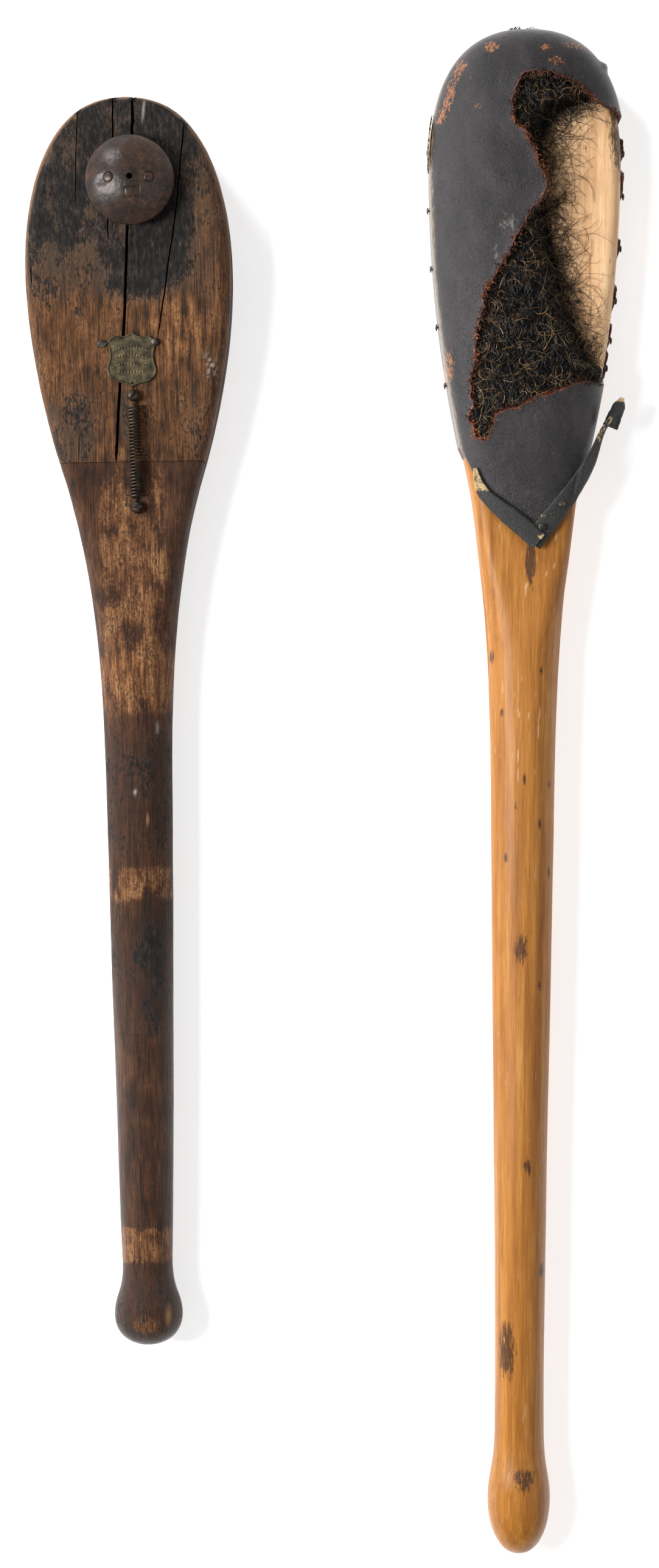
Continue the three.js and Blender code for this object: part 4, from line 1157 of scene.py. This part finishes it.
stuffing = thick_sheet("horsehair_stuffing", *stuffing_rows())
carve(stuffing, prism(below_v + (0, 2.5), -20, 90))
finish_piece(stuffing, "padded_paddle", "horsehair", "horsehair_pad",
             paint=lambda p, n: {"tint": np.clip(0.1 + 0.5 * noise(p, 1.2, 83), 0, 0.6)})


def torn_edge(y):
    """The bare wood's edge beside y, held to the torn stretch."""
    return bare_edge(np.clip(y, 764, 948))


def hair_height(x, y):
    w = padded_half_width(y)
    floor = 2 * half_depth(y) + 0.5
    lift = np.maximum(stuffed(np.clip(x, -w, w), y, w) - LEATHER - 1.6 - floor, 0)
    return floor + lift * smooth(torn_edge(y) + 2 - x, 0, 17)


def wander(x, y, angle, length):
    """Paths of the given lengths from each x, y, with an angle for each step."""
    stride = (length / angle.shape[1])[:, None]
    px = x[:, None] + np.cumsum(np.cos(angle) * stride, axis=1)
    return px, y[:, None] + np.cumsum(np.sin(angle) * stride, axis=1)


def strands(count, steps, x, y, length, bend, rise, heading=None):
    """Curly hairs that start at x, y and wander over the stuffing."""
    angle = rng.uniform(0, 2 * math.pi, count) if heading is None else heading
    turn = rng.normal(0, bend, count)[:, None] + rng.normal(0, bend * 0.5, (count, steps))
    px, py = wander(x, y, angle[:, None] + np.cumsum(turn, axis=1), length)
    arch = 0.4 + np.sin(np.linspace(0, 1, steps) * math.pi)
    pz = hair_height(px, py) + rng.uniform(-0.6, 1, count)[:, None] * rise * arch
    pz += rng.uniform(-0.8, 0.9, count)[:, None]
    return np.stack([px, py, np.maximum(pz, 36.6)], -1)


def scatter(count, keep):
    """Random places under the tear that keep(x, y) accepts, as a share from 0 to 1."""
    found = []
    while sum(map(len, found)) < count:
        x, y = rng.uniform(-40, 62, 6000), rng.uniform(716, 958, 6000)
        good = inside(TEAR_AREA, x, y) & (rng.random(6000) < keep(x, y))
        found.append(np.stack([x[good], y[good]], 1))
    return np.vstack(found)[:count].T


def hair_piece(name, paths, radius, tint):
    """Hairs in one piece: inside the head, and below the leather outside the tear."""
    x, y, z = np.moveaxis(paths, -1, 0)
    w = padded_half_width(y)
    kept = (np.abs(x) < w - 2).all(axis=1)
    limit = stuffed(np.clip(x, -w, w), y, w) - LEATHER - 0.9
    z = np.where(inside(TEAR_AREA, x, y), z, np.minimum(z, limit))
    made = tubes(name, np.stack([x, y, z], -1)[kept], radius[kept])
    shades = np.repeat(tint[kept], paths.shape[1] * 3)
    finish_piece(made, "padded_paddle", "horsehair", paint=lambda p, n: {"tint": shades}, sharp=80)


HAIRS, LOOSE_HAIRS = 2500, 900
for k in range(3):
    x, y = scatter(HAIRS, lambda x, y: smooth(torn_edge(y) + 1 - x, -2, 7))
    length = rng.uniform(7, 22, HAIRS)
    paths = strands(HAIRS, 12, x, y, length, 0.3, 1.6)
    tint = np.where(rng.random(HAIRS) < 0.8, rng.uniform(0, 0.7, HAIRS), rng.uniform(0.7, 1, HAIRS))
    hair_piece(f"horsehair_strands_{k + 1}", paths, rng.uniform(0.13, 0.24, HAIRS), tint)

x, y = scatter(LOOSE_HAIRS, lambda x, y: blot(x, y, torn_edge(y) + 1, y, 9, 10))
heading = rng.normal(-0.3, 1.7, LOOSE_HAIRS)
paths = strands(LOOSE_HAIRS, 18, x, y, rng.uniform(9, 40, LOOSE_HAIRS), 0.26, 3.0, heading)
hair_piece("horsehair_loose", paths, rng.uniform(0.08, 0.15, LOOSE_HAIRS),
           rng.uniform(0.5, 0.95, LOOSE_HAIRS))

# ---- The fuzz of the torn edge ----
FIBRES, FIBRE_STEPS = 2300, 6
index = rng.integers(22, len(TEAR_LINE) - 22, FIBRES)
start = TEAR_LINE[index] + rng.normal(0, 0.55, (FIBRES, 2))
angle = rng.uniform(0, 2 * math.pi, FIBRES)[:, None]
angle = angle + np.cumsum(rng.normal(0, 0.3, (FIBRES, FIBRE_STEPS)), axis=1)
px, py = wander(start[:, 0], start[:, 1], angle, rng.uniform(1.0, 3.4, FIBRES))
w = padded_half_width(py)
pz = stuffed(np.clip(px, -w, w), py, w) + rng.uniform(-1.2, 0.8, FIBRES)[:, None] + 0.5
kept = (np.abs(px) < w - 1).all(axis=1)
fuzz = tubes("torn_edge_fuzz", np.stack([px, py, pz], -1)[kept], rng.uniform(0.14, 0.3, FIBRES)[kept])
glow = noise(np.column_stack([start, start[:, 0]]), 14, 55) * 0.9 + 0.55
shades = np.repeat(np.clip(glow + rng.uniform(-0.35, 0.35, FIBRES), 0, 1)[kept], FIBRE_STEPS * 3)
finish_piece(fuzz, "padded_paddle", "cover_leather", paint=lambda p, n: {"tint": shades}, sharp=80,
             look="torn_leather_fuzz")

# ---- The lining patch ----
u, v = np.meshgrid(np.linspace(-2, 37.5, 80), np.linspace(764.4, 785.6, 46))
fray = 0.21 * noise(np.stack([u, v, u * 0], -1), 2, 91)
flat = np.stack([u + fray, v + fray, np.full(u.shape, 36.6)], -1)
wave = 0.35 * (1 + noise(flat, 9, 92))[..., None] * (0, 0, 1)
patch = thick_sheet("lining_cloth_patch", flat + wave + (0, 0, 0.6), flat + wave)
finish_piece(patch, "padded_paddle", "lining_cloth", "lining_patch")


# ---- The binding strips, their nails and the loose end ----
def strip_height(x, y):
    w = padded_half_width(y)
    drop = np.maximum(np.abs(x) - (w - 3), 0) * 0.8
    return stuffed(np.minimum(np.abs(x), 0.84 * w), y, w) - drop


def strip(side, seed, lift, widths, line, torn):
    """A leather strip along a line, pressed on the cover; torn(x, y) is where it is frayed."""
    line = smooth_line(line, 90)
    half = np.interp(np.linspace(0, 1, 90), np.linspace(0, 1, len(widths)), widths)
    half *= 1 + 0.05 * noise(np.column_stack([line, line[:, 0]]), 3, seed)
    across = np.linspace(-1, 1, 26)
    plan = line[:, None] - left_of(line)[:, None] * (across[:, None] * half[:, None, None])
    x, y = plan[..., 0], plan[..., 1]
    under = np.stack([x, y, strip_height(x, y) + lift], -1)
    thick = 1.5 * np.sqrt(np.maximum(1 - across**6, 0.1)) + 0.18 * noise(under, 4, seed + 3)
    made = thick_sheet(f"binding_leather_{side}", under + thick[..., None] * (0, 0, 1), under)
    finish_piece(made, "padded_paddle", "strip_leather", f"binding_strip_{side}",
                 paint=lambda p, n: {"torn": torn(p[:, 0], p[:, 1])})


strip("right", 101, 0.3, (6.6, 6.4, 5.6, 4.4, 2.4, 1.2),
      ((3.5, 655.5), (14, 669), (28, 687), (41, 708), (48.5, 727), (55.5, 738)),
      lambda x, y: 0.55 * smooth(y, 712, 724) + 0.5 * blot(x, y, 10, 672, 2, 4))
strip("left", 104, 2.0, (6.4, 6.2, 5.9, 4.6, 3.4, 1.2),
      ((8.5, 656.5), (-6, 668.5), (-23, 682.5), (-30, 691), (-33.5, 703)),
      lambda x, y: 0.8 * smooth(y, 683, 692) + blots(x, y, (0.55, 9.5, 659, 3.5, 4), (0.4, -4, 676, 3, 1.4)))

u, v = np.meshgrid(np.linspace(-1, 1, 20), np.linspace(-1, 1, 46))
edge = 1 + 0.1 * noise(np.stack([u * 5, v * 11, u], -1), 2, 111)
frayed = 0.9 * noise(np.stack([u * 8, v * 0, u * 0], -1), (1.4, 1, 1), 113) * smooth(v, 0.6, 1)
narrow = 1 - 0.15 * v - 0.5 * smooth(v, 0.45, 1)
flap = np.stack([4.4 * u * edge * narrow, 10 * v + frayed, 0.8 * np.sin(v * 1.7) + 0.3 * u], -1)
loose = thick_sheet("binding_loose_end", flap + (0, 0, 0.7), flap - (0, 0, 0.7))
loose.data.transform(placed(58.6, 741, 30.8, -22))
finish_piece(loose, "padded_paddle", "strip_leather", "binding_strip_end", paint=lambda p, n: {
    "torn": 0.9 * smooth(p[:, 1], 746.5, 749) + 0.5 * (1 - smooth(p[:, 1], 731, 734))})

TACK = [(0.05, -7), (0.7, -5.5), (0.7, 0), (2.1, 0), (2.35, 0.3), (2.1, 0.75), (1.3, 1.1), (0.5, 1.2)]


def tack(name, sides, place, rough, node):
    """A tack whose head is roughened by (depth, size, seed)."""
    made = lathe(name, TACK, sides)
    depth, size, seed = rough
    push(made, lambda p: depth * noise(p, size, seed) * (p[:, 2] > 0))
    made.data.transform(place)
    finish_piece(made, "padded_paddle", "nail_steel", node)


for k, (x, y, lift) in enumerate(((22.8, 680.6, 2.1), (9.7, 665.5, 3.8))):
    place = placed(x, y, float(strip_height(x, y)) + lift)
    tack(f"strip_tack_{k + 1}", 28, place, (0.14, 1.1, 120 + k), f"strip_nail_{k + 1}")

SIDE_TACKS = (("right", 1, (912, 884, 850, 816, 790, 772)), ("left", -1, (912, 874, 836, 798, 760)))
for name, side, heights in SIDE_TACKS:
    for k, y in enumerate(heights):
        place = placed(side * (float(padded_half_width(y)) + 2 * FIT), y, 16, 90 * side, "Y")
        tack(f"edge_tack_{name}_{k + 1}", 24, place, (0.12, 1, 130 + 7 * k + side),
             f"side_tack_{name}_{k + 1}")


# ---- The rest of the torn cover under the right tacks, and a strip of pale fibre on the left ----
def pale_fibre(rows=40, low=26, high=37, side=-1):
    v, u = np.meshgrid(np.linspace(896, 934, rows), np.linspace(low, high, 26), indexing="ij")
    at = np.stack([u, v, u * 0], -1)
    ends = np.sin(np.linspace(0, math.pi, rows))[:, None] ** 0.35
    height = low + (u + 1.6 * noise(at, 4, 171) * smooth(u, low, high) - low) * ends
    out = padded_half_width(v) + 0.2 + 0.35 * (1 + noise(at, 5, 172))
    over = np.stack([side * (out + 0.4 + 0.6 * ends), v, height], -1)
    made = thick_sheet("pale_edge_fibre", over, np.stack([side * out, v, height], -1))
    finish_piece(made, "padded_paddle", "strip_leather", sharp=55,
                 paint=lambda p, n: {"torn": 0.6 + 0.3 * noise(p, 4, 172)})


# The higher pieces: low and high y, and rise
REMNANT_PEAKS = ((908, 922, 15), (884, 900, 16), (846, 856, 11), (812, 826, 14), (787, 800, 13),
                 (765, 782, 15))


def remnant():
    """What is left of the torn cover under the tacks, low between them and ragged above."""
    v, u = np.meshgrid(np.linspace(762, 933, 190), np.linspace(0, 1, 26), indexing="ij")
    at, along = np.stack([u * 6, v, u * 0], -1), np.stack([u * 0, v, u * 0], -1)
    peak = np.zeros(v.shape)
    for y0, y1, rise in REMNANT_PEAKS:
        peak = np.maximum(peak, rise * smooth(v, y0 - 3, y0 + 3) * (1 - smooth(v, y1 - 3, y1 + 3)))
    torn = 2.4 * noise(along, (7, 5, 7), 141) + 1.5 * noise(along, 2, 142)
    height = 8 + (5 + torn + peak * (0.75 + 0.35 * noise(along, (9, 6, 9), 143))) * u
    out = padded_half_width(v) - 2.0 + 0.3 * (1 + noise(at, 5, 144))
    thick = 0.9 + 0.9 * np.minimum(peak / 10, 1) * (1 + 0.4 * noise(at, 3, 145))
    over = np.stack([out + thick, v, height], -1)
    made = thick_sheet("cover_remnant_right", over, np.stack([out, v, height], -1))
    finish_piece(made, "padded_paddle", "cover_leather", sharp=55,
                 paint=lambda p, n: {"under": 0.3 + 0.6 * smooth(noise(p, 3, 160), -0.1, 0.3)})


remnant()
pale_fibre()

stub_x = np.r_[rng.normal(-8.6, 2.2, 40), rng.normal(2, 1.2, 20), rng.normal(-46, 3, 26)]
stub_y = PADDED_LENGTH - 1.5 - 0.0033 * np.abs(stub_x) ** 2.35
reach = rng.uniform(0.4, 1.0, (len(stub_x), 1)) * np.linspace(0, 4.2, 6)
sway = np.cumsum(rng.normal(0, 0.35, (len(stub_x), 6)), axis=1)
stubs = np.stack([stub_x[:, None] + sway, stub_y[:, None] + reach, 34.0 + 0.6 * sway], -1)
stub_piece = tubes("hair_stubs", stubs, rng.uniform(0.15, 0.3, len(stub_x)))
finish_piece(stub_piece, "padded_paddle", "horsehair", paint=lambda p, n: {"tint": 0.4}, sharp=80)

# ---- The CAD pieces that keep their own shape ----
KEPT = {"hinge_lower_leaf": "old_steel", "hinge_upper_leaf": "old_steel", "hinge_pin": "nail_steel",
        "firing_pin_plate": "old_steel", "firing_pin": "nail_steel", "cartridge_chamber": "rusty_iron",
        "cap_lug": "rusty_iron"}
for name, node in frame["nodes"].items():
    look = KEPT.get(name, "nail_steel" if "screw" in name else None)
    if look and not node.hide_render:
        store(node.data, "local", coordinates(node) / MM)
        node.data.materials.clear()
        node.data.materials.append(LOOKS[look])

# ---- Floor, light and camera ----
WHITE = (1, 1, 1, 1)
corners = [(x, y, -0.0006) for x, y in ((-60, -60), (60, -60), (60, 60), (-60, 60))]
floor = mesh_object("floor", corners, [[0, 1, 2, 3]])
paper = Look("pale_floor", emission_color=WHITE, emission_strength=0.6, specular_ior_level=0.1)
paper.colour = (0.93, 0.93, 0.93, 1)
floor.data.materials.append(paper.done(0.9))


def area_light(name, place, width, height, power):
    """A rectangular light that faces the long axis of the paddles."""
    data = bpy.data.lights.new(name, "AREA")
    data.shape = "RECTANGLE"
    data.energy, data.size, data.size_y = power, width, height
    made = bpy.data.objects.new(name, data)
    made.location = place
    made.rotation_euler = Vector((-place[0], 0, -place[2])).to_track_quat("-Z", "Y").to_euler()
    bpy.context.scene.collection.objects.link(made)


area_light("key", (-1.6, 0.1, 1.5), 0.55, 1.3, 70)
area_light("top", (-1.15, 1.75, 1.0), 0.45, 0.45, 24)
area_light("fill", (1.7, -0.4, 2.2), 1.6, 1.6, 8)
world = bpy.data.worlds.new("studio")
world.use_nodes = True
world.node_tree.nodes["Background"].inputs["Color"].default_value = WHITE
world.node_tree.nodes["Background"].inputs["Strength"].default_value = 0.27
bpy.context.scene.world = world
bpy.context.scene.view_settings.view_transform = "Standard"

CAMERA_HEIGHT, VIEW_PLANE, VIEW_HEIGHT, SENSOR = 1.725, 0.025, 1.0183, 36.0
lens = bpy.data.cameras.new("camera")
lens.sensor_fit = "VERTICAL"
lens.sensor_height = SENSOR
lens.lens = SENSOR * (CAMERA_HEIGHT - VIEW_PLANE) / VIEW_HEIGHT
camera = bpy.data.objects.new("camera", lens)
camera.location = (0.00035, 0.0064, CAMERA_HEIGHT)
bpy.context.scene.collection.objects.link(camera)
bpy.context.scene.camera = camera

bpy.context.view_layer.update()
